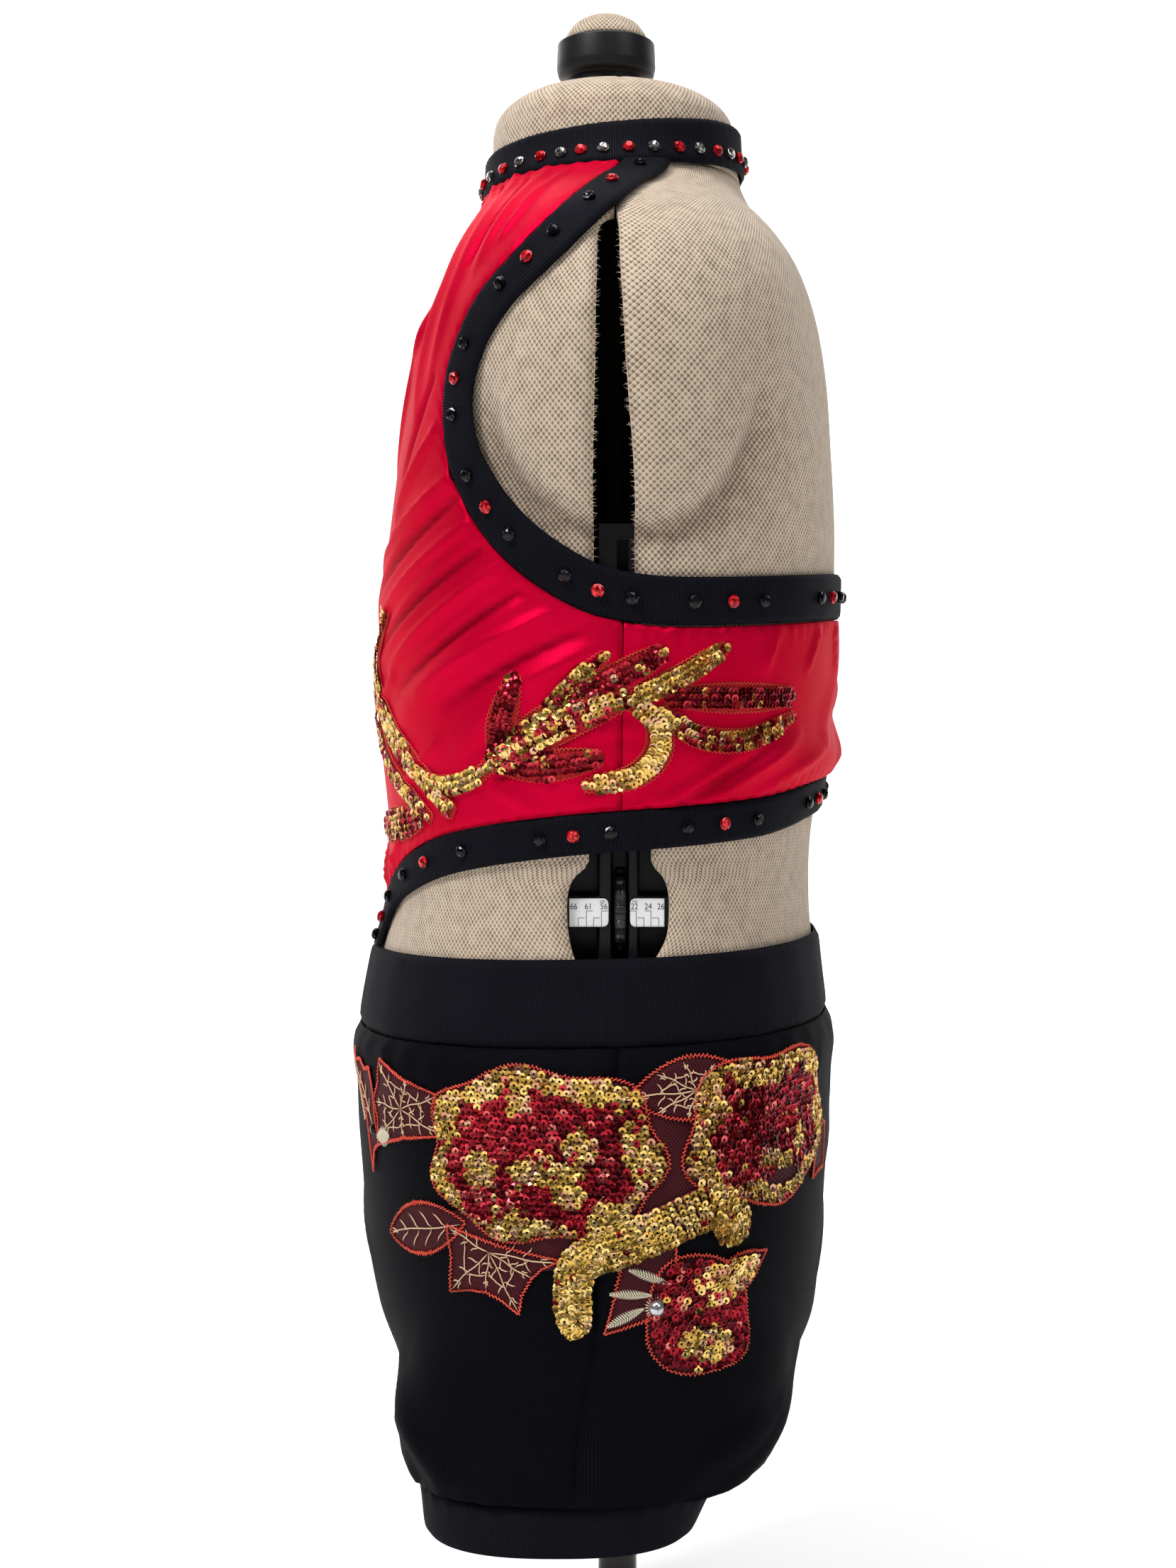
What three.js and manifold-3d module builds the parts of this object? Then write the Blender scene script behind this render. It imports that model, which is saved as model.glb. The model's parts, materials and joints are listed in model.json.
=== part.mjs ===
// A child's halter dance costume, resting on an adjustable dress form with no limbs.
// Millimetres, +Z up, origin at the middle of the stand's underside.
// The wearer's front is -Y and the wearer's left is +X.
import * as THREE from "three";
import { mergeVertices } from "three/addons/utils/BufferGeometryUtils.js";
import Module from "manifold-3d";

const wasm = await Module();
wasm.setup();

// Driving dimensions
const DATUM_RISE = 30; // the heights in the tables start this far above the floor
const CLOTH = 1.2; // wall of the satin and of the shorts' jersey
const RIB = 2.0; // wall of the folded rib bands
const SHELL = 4; // wall of the form's panels
const EASE = 0.2; // the cloth's inner face outside the body's nominal surface
const ROUND_MM = 2.2; // a degree round the body is about this long
const FORM_INSET = 0.9; // the form's outer face inside that surface
const SHOULDER_INSET = 0.9; // and this much more where the shoulders turn into the neck
const SEAM = 0.3; // gap between pieces that are sewn together
const SIDE_SEAM = 91; // degrees round the body from the centre front
const SEAM_DEGREES = 0.1; // the satin panels end this far from it
const ARM_BAND_WIDTH = 18;
const HEM_BAND_WIDTH = 15;
const WAIST_TOP = 305; // mean height of the waistband's top edge
const WAIST_SEAM = 273.5;
const WAIST_TILT = 3; // the waistband is this much lower in front and higher behind
const HIP_LOW = 160; // below this the shorts part into two legs
const CROTCH_Z = 126;
const CROTCH_X = 20; // the crotch hangs to the left of the pole, which passes the right leg
const BLOUSE = 4.5; // how far the back panel rolls out over the lower band
const BLOUSE_Z = 379;
const LEG_SEAM = 102.4; // where the legs are gathered into their cuffs
const INSEAM_ROOM = 3; // from the crotch line to each leg's ring
const CUFF_LOW = 82;
const POLE_RADIUS = 8;
const POLE_Y = 2.4;
const KNOB_Y = -2.4;
const BASE_RADIUS = 140;
const BASE_THICK = 12;
const NECK_LOW = 617; // the form's neck block stands on the panels here
const NECK_TOP = 657;

// The body's sections: half width, depth in front, depth behind, squareness.
const BODY = [
  { z: 100, w: 119, f: 84, b: 66, n: 2.3 },
  { z: 125, w: 121.5, f: 88, b: 70, n: 2.3 },
  { z: 150, w: 125.5, f: 93, b: 80, n: 2.3 },
  { z: 180, w: 131, f: 99, b: 84, n: 2.3 },
  { z: 210, w: 134, f: 101.5, b: 86, n: 2.3 },
  { z: 240, w: 134, f: 103.5, b: 88, n: 2.3 },
  { z: 270, w: 129, f: 102.5, b: 87, n: 2.3 },
  { z: 300, w: 121, f: 97.5, b: 84, n: 2.25 },
  { z: 320, w: 118, f: 93, b: 82.5, n: 2.2 },
  { z: 345, w: 119, f: 91, b: 83, n: 2.2 },
  { z: 380, w: 124, f: 94, b: 88, n: 2.2 },
  { z: 410, w: 128, f: 95.5, b: 91, n: 2.25 },
  { z: 440, w: 131, f: 94, b: 92, n: 2.35 },
  { z: 470, w: 137, f: 90, b: 92, n: 2.45 },
  { z: 500, w: 144, f: 85.5, b: 90, n: 2.55 },
  { z: 525, w: 148, f: 80.8, b: 88, n: 2.6 },
  { z: 545, w: 148, f: 75, b: 85, n: 2.6 },
  { z: 560, w: 144, f: 69.2, b: 81.5, n: 2.55 },
  { z: 572, w: 137, f: 64.6, b: 77.5, n: 2.5 },
  { z: 582, w: 126, f: 60.4, b: 73, n: 2.4 },
  { z: 590, w: 112, f: 57, b: 69, n: 2.3 },
  { z: 597, w: 96, f: 54.6, b: 65, n: 2.2 },
  { z: 603, w: 80, f: 53, b: 61, n: 2.1 },
  { z: 610, w: 67, f: 52.2, b: 57.5, n: 2.05 },
  { z: 618, w: 60, f: 51.2, b: 54.5, n: 2.0 },
  { z: 630, w: 56, f: 50.8, b: 52.5, n: 2.0 },
  { z: 645, w: 54.5, f: 50.5, b: 52, n: 2.0 },
  { z: 660, w: 53, f: 49.5, b: 50, n: 2.0 },
];

// The rounded top of the neck block, as a share of its width at the first of these heights.
const NECK_DOME = [
  { z: 637, share: 1 },
  { z: 642.5, share: 0.975 },
  { z: 647.5, share: 0.9 },
  { z: 652, share: 0.76 },
  { z: 655.3, share: 0.55 },
  { z: NECK_TOP, share: 0.32 },
];

// Arm band: its outer edge, sewn to the satin, from the collar round the armhole to the centre back.
const ARM_EDGE = [
  { phi: 97, z: 622 },
  { phi: 92, z: 610 },
  { phi: 86, z: 600 },
  { phi: 80, z: 587 },
  { phi: 73, z: 574 },
  { phi: 65, z: 562.5 },
  { phi: 57, z: 552 },
  { phi: 51, z: 540 },
  { phi: 47.5, z: 526 },
  { phi: 46.5, z: 512 },
  { phi: 48, z: 498 },
  { phi: 52, z: 483 },
  { phi: 59, z: 467 },
  { phi: 67, z: 453 },
  { phi: 76, z: 441 },
  { phi: 86, z: 431 },
  { phi: 96, z: 427 },
  { phi: 112, z: 427 },
  { phi: 135, z: 429.5 },
  { phi: 160, z: 433 },
  { phi: 180, z: 435 },
];

// Lower band: its upper edge, from under the waistband's top edge in front to the centre back.
const HEM_EDGE = [
  { phi: 10.5, z: 290 },
  { phi: 11.5, z: 303 },
  { phi: 13.5, z: 316 },
  { phi: 17.5, z: 327 },
  { phi: 24, z: 335.5 },
  { phi: 34, z: 342.5 },
  { phi: 46, z: 348.5 },
  { phi: 60, z: 353 },
  { phi: 75, z: 356.5 },
  { phi: 91, z: 359.3 },
  { phi: 106, z: 361 },
  { phi: 129, z: 364 },
  { phi: 150, z: 369 },
  { phi: 180, z: 374 },
];

// Width of the form's side gap on each side of the line phi = 90, by height.
const SIDE_GAP = [
  { z: 160, front: 6, back: 6 },
  { z: 285, front: 6, back: 6 },
  { z: 300, front: 15, back: 17.5 },
  { z: 318, front: 16, back: 18.5 },
  { z: 335, front: 15, back: 17.5 },
  { z: 347, front: 9, back: 12 },
  { z: 360, front: 6.5, back: 7 },
  { z: 470, front: 8.4, back: 7 },
  { z: 517, front: 7.6, back: 3.7 },
  { z: 556, front: 7, back: 1.2 },
  { z: 570, front: 3, back: 0.3 },
  { z: 582, front: 0.3, back: 0.3 },
  { z: NECK_LOW, front: 0.3, back: 0.3 },
];
const CENTRE_GAP = 3; // half the gap between left and right panels

// Folds of the satin: soft ridges from a to b, with their half width and height.
const TOP_FOLDS = [
  { phiA: 12, zA: 606, phiB: 22, zB: 520, width: 4.5, height: 2.2 },
  { phiA: 27, zA: 608, phiB: 31, zB: 505, width: 5, height: 2.6 },
  { phiA: 44, zA: 608, phiB: 38, zB: 520, width: 4.5, height: 2.4 },
  { phiA: 62, zA: 608, phiB: 48, zB: 556, width: 4.5, height: 2.2 },
  { phiA: 44, zA: 470, phiB: 6, zB: 434, width: 7, height: 2.2 },
  { phiA: 56, zA: 452, phiB: 14, zB: 410, width: 7, height: 2.6 },
  { phiA: 70, zA: 432, phiB: 30, zB: 392, width: 7, height: 2.4 },
  { phiA: 86, zA: 420, phiB: 52, zB: 380, width: 6, height: 1.8 },
  { phiA: 166, zA: 422, phiB: 150, zB: 384, width: 7, height: 1.6 },
];
// Largest folds of the shorts, low down where the legs blouse over their cuffs.
const SHORTS_FOLDS = [
  { phiA: 93, zA: 109, phiB: 122, zB: 134, width: 6, height: 2.4 },
  { phiA: 112, zA: 109, phiB: 148, zB: 152, width: 6, height: 2.4 },
  { phiA: 70, zA: 109, phiB: 34, zB: 148, width: 7, height: 2.4 },
  { phiA: 52, zA: 108, phiB: 26, zB: 124, width: 5, height: 1.8 },
];

// Leg rings: the most forward, backward and sideways reach of the cloth, by height.
const LEG = [
  { z: CUFF_LOW, front: -73.5, back: 31, out: 113.5 },
  { z: LEG_SEAM, front: -75.5, back: 41, out: 116.5 },
  { z: 104, front: -76, back: 44.5, out: 116.8 },
  { z: 108, front: -77.5, back: 55, out: 118.5 },
  { z: 114, front: -80.5, back: 60.5, out: 119.5 },
  { z: CROTCH_Z, front: -85, back: 66, out: 121.5 },
  { z: 160, front: -92, back: 80, out: 125 },
];
// The shorts' side seam, as a turn from the side towards the back, by height.
const SIDE_LEAN = [
  { z: 103, turn: -0.006 },
  { z: 140, turn: -0.022 },
  { z: 190, turn: -0.034 },
  { z: 274, turn: 0.006 },
];
const SEAM_TURN = 0.002; // the panels end this far from the seam line

// Hip applique: lower and upper edge of the embroidered patch round the left hip.
const HIP_PATCH = [
  { phi: 10, low: 228, high: 248 },
  { phi: 20, low: 221, high: 257 },
  { phi: 31, low: 220, high: 261 },
  { phi: 40, low: 200, high: 257 },
  { phi: 47, low: 191, high: 254 },
  { phi: 56, low: 190, high: 260 },
  { phi: 65, low: 186, high: 265.5 },
  { phi: 72, low: 179, high: 267 },
  { phi: 79, low: 184, high: 267.5 },
  { phi: 84, low: 165, high: 266 },
  { phi: 88, low: 178, high: 263 },
  { phi: 94, low: 163, high: 259 },
  { phi: 101, low: 154, high: 265 },
  { phi: 109, low: 151, high: 267.5 },
  { phi: 117, low: 155, high: 267 },
  { phi: 123, low: 165, high: 267.5 },
  { phi: 128, low: 186, high: 267.5 },
  { phi: 135, low: 209, high: 263 },
  { phi: 144, low: 214, high: 255 },
  { phi: 152, low: 222, high: 240 },
];
// Sequin mounds raised on that patch: centre, reach round and up, height.
const MOUNDS = [
  { phi: 78, z: 236, round: 44, up: 31, height: 1.4 },
  { phi: 121, z: 243, round: 29, up: 27, height: 1.4 },
  { phi: 100, z: 205, round: 34, up: 9, height: 1.1 },
  { phi: 84, z: 183, round: 6, up: 15, height: 1.0 },
  { phi: 108, z: 172, round: 20, up: 18, height: 1.1 },
];

// Leaf spray on the satin: the run of each leaf or stem, with its greatest half width.
const SPRAY = [
  { name: "strand", half: 6, run: [[26, 437], [19, 420], [17, 405], [20, 390], [29, 374], [40, 363]] },
  { name: "foot", half: 6.5, run: [[11, 351], [21, 352], [33, 353.5], [42, 356]] },
  { name: "stem", half: 3.6, run: [[46, 369], [52, 368.5], [58, 371], [64, 376]] },
  { name: "upright", half: 5, run: [[66.5, 384], [68, 396], [71, 410]] },
  { name: "lower", half: 5.2, run: [[69, 378], [78, 376.5], [87, 378.5]] },
  { name: "cluster", half: 6.6, run: [[73, 388], [80, 394], [87, 400]] },
  { name: "tip", half: 4.2, run: [[88, 406], [93, 412], [99, 418]] },
  { name: "crescent", half: 4.4, run: [[92, 397], [98, 391], [98, 380], [93, 372], [84, 368.5]] },
  { name: "plume", half: 4.4, run: [[97, 402], [104, 409.5], [113, 420]] },
  { name: "upper_wing", half: 4.8, run: [[104, 398.5], [118, 400.5], [135, 402]] },
  { name: "lower_wing", half: 3.8, run: [[104, 390.5], [110, 384.5], [122, 387], [136, 395]] },
];

// Steps of the grids
const WAIST_COLUMNS = 2; // columns of the satin's front from its middle to the lower band
const HEM_COLUMNS = 11; // columns from there to the side seam
const SIDE_ROWS = 4; // rows of the satin beside the side seam
const BACK_ROWS = 6;
const ARMHOLE_ROWS = 18; // rows of the satin beside the armhole
const BACK_STEPS = 11;
const RING_STEPS = 40;
const RING_ROWS = 2;
const CUFF_STEPS = 28;
const SHORTS_COLUMNS = 9;
const SHORTS_ROWS = [274, 266, 256, 236, 208, 180, 160, 150, 141, 133, 128, 126, 118, 111, 106, 103.2];
const PATCH_COLUMNS = 28;
const PATCH_ROWS = 6;
const FORM_COLUMNS = 7;
const NECK_STEPS = 24;
const FORM_ROWS = [
  163, 215, 270, 292, 304, 332, 348, 362, 395, 425, 442, 460, 485, 517, 545, 560, 571, 580, 588, 595, 602, 609,
  NECK_LOW - 0.4,
];
const SHEARED_SHARE = 0.25; // share of a band's run in which its slanting end squares up

const SATIN = { color: 0xc8102e, roughness: 0.38, metalness: 0 };
const BLACK_RIB = { color: 0x0c0d12, roughness: 0.85, metalness: 0 };
const BLACK_JERSEY = { color: 0x0a0b10, roughness: 0.75, metalness: 0 };
const FORM_CLOTH = { color: 0xbcae9a, roughness: 0.95, metalness: 0 };
const BLACK_PLASTIC = { color: 0x101012, roughness: 0.4, metalness: 0 };
const WHITE_PLASTIC = { color: 0xf0f0ee, roughness: 0.5, metalness: 0 };
const STAND_METAL = { color: 0x1a1a1c, roughness: 0.35, metalness: 0.8 };
const SEQUINS = { color: 0xb98a3a, roughness: 0.3, metalness: 0.8 };

const figure = new THREE.Group();
figure.position.z = DATUM_RISE;

const rad = (degrees) => (degrees * Math.PI) / 180;
const mix = (a, b, t) => a + (b - a) * t;
const clamp = (value, low, high) => Math.min(Math.max(value, low), high);
const steps = (count) => Array.from({ length: count + 1 }, (_, i) => i / count);
const openSteps = (count) => steps(count).slice(0, -1);

// A smooth curve through a table's rows: the column key as a function of the column by.
function curve(rows, by, key) {
  const slope = (i) => {
    const a = rows[Math.max(i - 1, 0)];
    const b = rows[Math.min(i + 1, rows.length - 1)];
    return (b[key] - a[key]) / (b[by] - a[by]);
  };
  return (at) => {
    let i = 0;
    while (i < rows.length - 2 && at > rows[i + 1][by]) i += 1;
    const span = rows[i + 1][by] - rows[i][by];
    const t = clamp((at - rows[i][by]) / span, 0, 1);
    const [m0, m1] = [slope(i) * span, slope(i + 1) * span];
    const rest = (t ** 3 - 2 * t ** 2 + t) * m0 + (t ** 3 - t ** 2) * m1;
    return mix(rows[i][key], rows[i + 1][key], 3 * t ** 2 - 2 * t ** 3) + rest;
  };
}

const half = curve(BODY, "z", "w");
const depthFront = curve(BODY, "z", "f");
const depthBack = curve(BODY, "z", "b");
const squareness = curve(BODY, "z", "n");

// A point of the body's nominal surface: phi degrees from the centre front towards the left.
function bodyAt(phi, z) {
  const n = squareness(z);
  const [s, c] = [Math.sin(rad(phi)), Math.cos(rad(phi))];
  const depth = c > 0 ? depthFront(z) : depthBack(z);
  const x = half(z) * Math.sign(s) * Math.abs(s) ** (2 / n);
  return new THREE.Vector3(x, -depth * Math.sign(c) * Math.abs(c) ** (2 / n), z);
}

// The outward normal of a surface point(phi, z), from small steps each way.
function normalOf(surface, phi, z) {
  const round = surface(phi + 0.5, z).sub(surface(phi - 0.5, z));
  const up = surface(phi, z + 0.5).sub(surface(phi, z - 0.5));
  return round.cross(up).normalize();
}

const bodyOut = (phi, z, out) =>
  bodyAt(phi, z).addScaledVector(normalOf(bodyAt, phi, z), out);

// Height of the folds in a table at phi, z: each is a soft ridge that fades towards its ends.
function foldHeight(folds, phi, z) {
  const round = phi > 180 ? 360 - phi : Math.abs(phi);
  let sum = 0;
  for (const fold of folds) {
    const [dx, dz] = [(fold.phiB - fold.phiA) * ROUND_MM, fold.zB - fold.zA];
    const [px, pz] = [(round - fold.phiA) * ROUND_MM, z - fold.zA];
    const along = (px * dx + pz * dz) / (dx * dx + dz * dz);
    const t = clamp(along, 0, 1);
    const apart = Math.hypot(px - t * dx, pz - t * dz);
    const fade = Math.sin(Math.PI * mix(0.12, 1, t)) ** 0.6;
    sum += fold.height * fade * Math.exp(-((apart / fold.width) ** 2));
  }
  return sum;
}

// A closed wall from a grid of outer points and the matching inner points.
// A ring closes on itself in its first direction.
function wall(outer, inner, ring = false) {
  const [columns, rows] = [outer.length, outer[0].length];
  const points = [...outer.flat(), ...inner.flat()];
  const at = (i, j) => (i % columns) * rows + j;
  const under = columns * rows;
  const faces = [];
  let flipped = false; // the other diagonal on the first half, so that both sides are alike
  const quad = (a, b, c, d) => {
    if (flipped) faces.push(b, c, d, b, d, a);
    else faces.push(a, b, c, a, c, d);
  };
  const lastColumn = ring ? columns : columns - 1;
  for (let i = 0; i < lastColumn; i += 1) {
    flipped = i < lastColumn / 2;
    for (let j = 0; j < rows - 1; j += 1) {
      quad(at(i, j), at(i + 1, j), at(i + 1, j + 1), at(i, j + 1));
      quad(under + at(i, j), under + at(i, j + 1), under + at(i + 1, j + 1), under + at(i + 1, j));
    }
    quad(at(i, 0), under + at(i, 0), under + at(i + 1, 0), at(i + 1, 0));
    const top = rows - 1;
    quad(at(i, top), at(i + 1, top), under + at(i + 1, top), under + at(i, top));
  }
  if (!ring) {
    for (let j = 0; j < rows - 1; j += 1) {
      const end = columns - 1;
      quad(at(0, j), at(0, j + 1), under + at(0, j + 1), under + at(0, j));
      quad(at(end, j), under + at(end, j), under + at(end, j + 1), at(end, j + 1));
    }
  }
  return closedGeometry(points, faces);
}

function closedGeometry(points, faces) {
  const geometry = new THREE.BufferGeometry().setFromPoints(points);
  let volume = 0;
  for (let k = 0; k < faces.length; k += 3) {
    const [a, b, c] = [points[faces[k]], points[faces[k + 1]], points[faces[k + 2]]];
    volume += a.dot(b.clone().cross(c));
  }
  geometry.setIndex(volume < 0 ? faces.reverse() : faces);
  geometry.computeVertexNormals();
  return geometry;
}

// The mirror image in the plane X = 0, with its faces turned back outwards.
function mirrored(geometry) {
  const copy = geometry.clone().scale(-1, 1, 1);
  copy.setIndex([...copy.index.array].reverse());
  copy.computeVertexNormals();
  return copy;
}

function asManifold(geometry) {
  const bare = geometry.clone();
  bare.deleteAttribute("normal");
  bare.deleteAttribute("uv");
  const merged = mergeVertices(bare, 1e-4);
  return new wasm.Manifold(
    new wasm.Mesh({
      numProp: 3,
      vertProperties: merged.attributes.position.array,
      triVerts: new Uint32Array(merged.index.array),
    }),
  );
}

function asGeometry(manifold) {
  const mesh = manifold.getMesh();
  const geometry = new THREE.BufferGeometry();
  geometry.setAttribute("position", new THREE.BufferAttribute(mesh.vertProperties, 3));
  geometry.setIndex(new THREE.BufferAttribute(mesh.triVerts, 1));
  geometry.computeVertexNormals();
  return geometry;
}

function add(name, geometry, finish) {
  const mesh = new THREE.Mesh(geometry, new THREE.MeshStandardMaterial(finish));
  mesh.name = name;
  figure.add(mesh);
}

// A point on the smooth curve through a table of edge rows, by its place t from 0 to 1.
function edgePoint(rows) {
  const numbered = rows.map((row, i) => ({ ...row, t: i / (rows.length - 1) }));
  const phiOf = curve(numbered, "t", "phi");
  const zOf = curve(numbered, "t", "z");
  return (t) => ({ phi: phiOf(t), z: zOf(t) });
}

// Walks from a point of the body's surface at a right angle to the edge, a set length to one side.
function across(edge, t, length) {
  const step = 0.002;
  const [from, to] = [edge(Math.max(t - step, 0)), edge(Math.min(t + step, 1))];
  const travel = bodyAt(to.phi, to.z).sub(bodyAt(from.phi, from.z)).normalize();
  const here = { ...edge(t) };
  const strides = 6;
  for (let k = 0; k < strides; k += 1) {
    const normal = normalOf(bodyAt, here.phi, here.z);
    const side = normal.clone().cross(travel).normalize().multiplyScalar(length / strides);
    const round = bodyAt(here.phi + 0.5, here.z).sub(bodyAt(here.phi - 0.5, here.z));
    const up = bodyAt(here.phi, here.z + 0.5).sub(bodyAt(here.phi, here.z - 0.5));
    const [rr, ru, uu] = [round.dot(round), round.dot(up), up.dot(up)];
    const [sr, su] = [side.dot(round), side.dot(up)];
    const det = rr * uu - ru * ru;
    here.phi += (sr * uu - su * ru) / det;
    here.z += (su * rr - sr * ru) / det;
  }
  return here;
}

// The place t, between low and high, where a test on the edge changes from true to false.
function whereChanges(test, low, high) {
  let [a, b] = [low, high];
  for (let k = 0; k < 40; k += 1) {
    const middle = (a + b) / 2;
    if (test(middle)) a = middle;
    else b = middle;
  }
  return (a + b) / 2;
}

const collarLow = (phi) => 610 + 9.6 * ((1 - Math.cos(rad(phi))) / 2) ** 3.2;
const collarHigh = (phi) => 627 + 11.7 * ((1 - Math.cos(rad(phi))) / 2) ** 2.2;
const waistTop = (phi) => WAIST_TOP - WAIST_TILT * Math.cos(rad(phi));
const waistSeam = (phi) => WAIST_SEAM - WAIST_TILT * Math.cos(rad(phi));
const armEdge = edgePoint(ARM_EDGE);
const hemEdge = edgePoint(HEM_EDGE);

// Satin top

const armStart = whereChanges((t) => armEdge(t).z > collarLow(armEdge(t).phi) - SEAM, 0, 0.2);
const armSeam = whereChanges((t) => armEdge(t).phi < SIDE_SEAM, 0.5, 1);
const hemSeam = whereChanges((t) => hemEdge(t).phi < SIDE_SEAM, 0, 1);
const hemStart = whereChanges((t) => hemEdge(t).z < waistTop(hemEdge(t).phi) + SEAM, 0, 0.4);

const armStations = steps(ARMHOLE_ROWS).map((s) => mix(armStart, armSeam, s));

// The satin's edge beside one side: up the side seam, then round the armhole to the collar.
function frontSide() {
  const bottom = across(hemEdge, hemSeam, SEAM);
  const corner = armEdge(armSeam);
  const seamLine = SIDE_SEAM - SEAM_DEGREES;
  const rows = steps(SIDE_ROWS).map((s) => ({ phi: seamLine, z: mix(bottom.z, corner.z, s) }));
  const armhole = armStations.toReversed().slice(1).map((t) => armEdge(t));
  return [...rows, ...armhole];
}

// The satin's lower edge from the centre front to the side seam: along the waistband's top edge,
// then along the lower band.
function frontBottom() {
  const corner = across(hemEdge, hemStart, SEAM);
  const straight = steps(WAIST_COLUMNS).map((s) => ({ phi: corner.phi * s, z: waistTop(corner.phi * s) + SEAM }));
  const hem = steps(HEM_COLUMNS).map((s) => across(hemEdge, mix(hemStart, hemSeam, s), SEAM));
  return [...straight, ...hem.slice(1)];
}

function frontPanel() {
  const side = frontSide();
  const [base, crown] = [side[0], side[side.length - 1]];
  const lower = frontBottom();
  const last = lower.length - 1;
  const columns = steps(2 * last).map((s) => Math.round(2 * last * s) - last);
  const grid = columns.map((column) => {
    const u = column / last;
    const share = Math.abs(u);
    const bottom = lower[Math.abs(column)];
    const topPhi = crown.phi * share;
    const top = { phi: topPhi, z: mix(collarLow(topPhi) - SEAM, crown.z, share ** 8) };
    return side.map((edge) => {
      const v = (edge.z - base.z) / (crown.z - base.z);
      const phi = mix(bottom.phi, top.phi, v) + share * (edge.phi - mix(base.phi, crown.phi, v));
      const z = mix(bottom.z, top.z, v) + edge.z - mix(base.z, crown.z, v);
      return { phi: phi * Math.sign(u || 1), z };
    });
  });
  return satinFrom(grid);
}

// How far the satin's inner face stands off the body: its folds, and behind, where the back panel
// blouses over the lower band, a soft roll.
function satinOut(phi, z) {
  const behind = Math.max(0, -Math.cos(rad(phi)));
  const roll = BLOUSE * behind * Math.exp(-(((z - BLOUSE_Z) / 9) ** 2));
  return EASE + foldHeight(TOP_FOLDS, phi, z) + roll;
}

// A satin wall over a grid of body places.
function satinFrom(grid) {
  const lifted = (extra) =>
    grid.map((line) => line.map(({ phi, z }) => bodyOut(phi, z, satinOut(phi, z) + extra)));
  return wall(lifted(CLOTH), lifted(0));
}

function backPanel() {
  const columns = steps(BACK_STEPS).map((share, i) => {
    const top = armEdge(mix(armSeam, 1, share));
    const bottom = hemEdge(mix(hemSeam, 1, share));
    const start = i ? 0 : SEAM_DEGREES;
    return steps(BACK_ROWS).map((s) => ({
      phi: mix(bottom.phi, top.phi, s) + start,
      z: mix(bottom.z + SEAM, top.z - SEAM, s),
    }));
  });
  return satinFrom(bothSides(columns));
}

// A folded rib strip over a grid of body places.
function ribStrip(places) {
  const lifted = (out) => places.map((row) => row.map(({ phi, z }) => bodyOut(phi, z, EASE + out)));
  return wall(lifted(RIB), lifted(0));
}

// Rows of places on the left side, from front to back, with their mirror images after them.
function bothSides(leftRows) {
  const right = leftRows
    .slice(0, -1)
    .toReversed()
    .map((row) => row.map(({ phi, z }) => ({ phi: 360 - phi, z })));
  return [...leftRows, ...right];
}

// Each station's places across a band, with the band's first rows sheared to end on a set line.
function bandRows(edge, stations, near, far, pastEnd) {
  const shares = [0, 0.5, 1];
  const first = shares.map((share) =>
    whereChanges((t) => pastEnd(across(edge, t, mix(near, far, share))), 0, 0.5),
  );
  return stations.map((t) =>
    shares.map((share, k) => {
      const sheared = mix(first[k], 1, (t - stations[0]) / (1 - stations[0]));
      const settled = Math.min((t - stations[0]) / SHEARED_SHARE, 1);
      return across(edge, mix(sheared, t, settled), mix(near, far, share));
    }),
  );
}

function armBand() {
  const stations = [...armStations, ...steps(BACK_STEPS).slice(1).map((s) => mix(armSeam, 1, s))];
  const underCollar = ({ phi, z }) => z > collarLow(phi) - SEAM;
  return ribStrip(bothSides(bandRows(armEdge, stations, SEAM, ARM_BAND_WIDTH, underCollar)));
}

function hemBand() {
  const front = steps(HEM_COLUMNS).map((s) => mix(hemStart, hemSeam, s));
  const stations = [...front, ...steps(BACK_STEPS).slice(1).map((s) => mix(hemSeam, 1, s))];
  const underWaistband = ({ phi, z }) => z < waistTop(phi) + SEAM;
  return ribStrip(bothSides(bandRows(hemEdge, stations, 0, -HEM_BAND_WIDTH, underWaistband)));
}

// A ring of rib round the body between a lower and an upper line.
function bodyRing(low, high) {
  const lifted = (out) =>
    openSteps(RING_STEPS).map((s) => {
      const phi = 360 * s;
      return steps(RING_ROWS).map((v) => bodyOut(phi, mix(low(phi), high(phi), v), EASE + out));
    });
  return wall(lifted(RIB), lifted(0), true);
}

add("front_panel", frontPanel(), SATIN);
add("back_panel", backPanel(), SATIN);
add("collar", bodyRing(collarLow, collarHigh), BLACK_RIB);
add("arm_band", armBand(), BLACK_RIB);
add("lower_band", hemBand(), BLACK_RIB);
add("waistband", bodyRing(waistSeam, waistTop), BLACK_RIB);

// Leaf spray on the satin

const SPRAY_LOW = 0.7; // the leaves' underside above the satin, clear of its facets
const SPRAY_HIGH = 1.9;
const SPRAY_CROWN = 0.4;

// A leaf along its run: its half width tapers to both ends and its middle line is crowned.
function sprayLeaf({ run, half }) {
  const middle = edgePoint(run.map(([phi, z]) => ({ phi, z })));
  const lifted = (out, crown) =>
    steps(run.length + 2).map((s) => {
      const taper = Math.sqrt(Math.sin(Math.PI * mix(0.06, 0.94, s)));
      return [-1, 0, 1].map((share) => {
        const { phi, z } = across(middle, s, half * taper * share);
        return bodyOut(phi, z, satinOut(phi, z) + CLOTH + out + (share ? 0 : crown));
      });
    });
  return wall(lifted(SPRAY_HIGH, SPRAY_CROWN), lifted(SPRAY_LOW, 0));
}

for (const leaf of SPRAY) {
  const geometry = sprayLeaf(leaf);
  add(`spray_${leaf.name}_left`, geometry, SEQUINS);
  add(`spray_${leaf.name}_right`, mirrored(geometry), SEQUINS);
}

// Shorts

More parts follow.
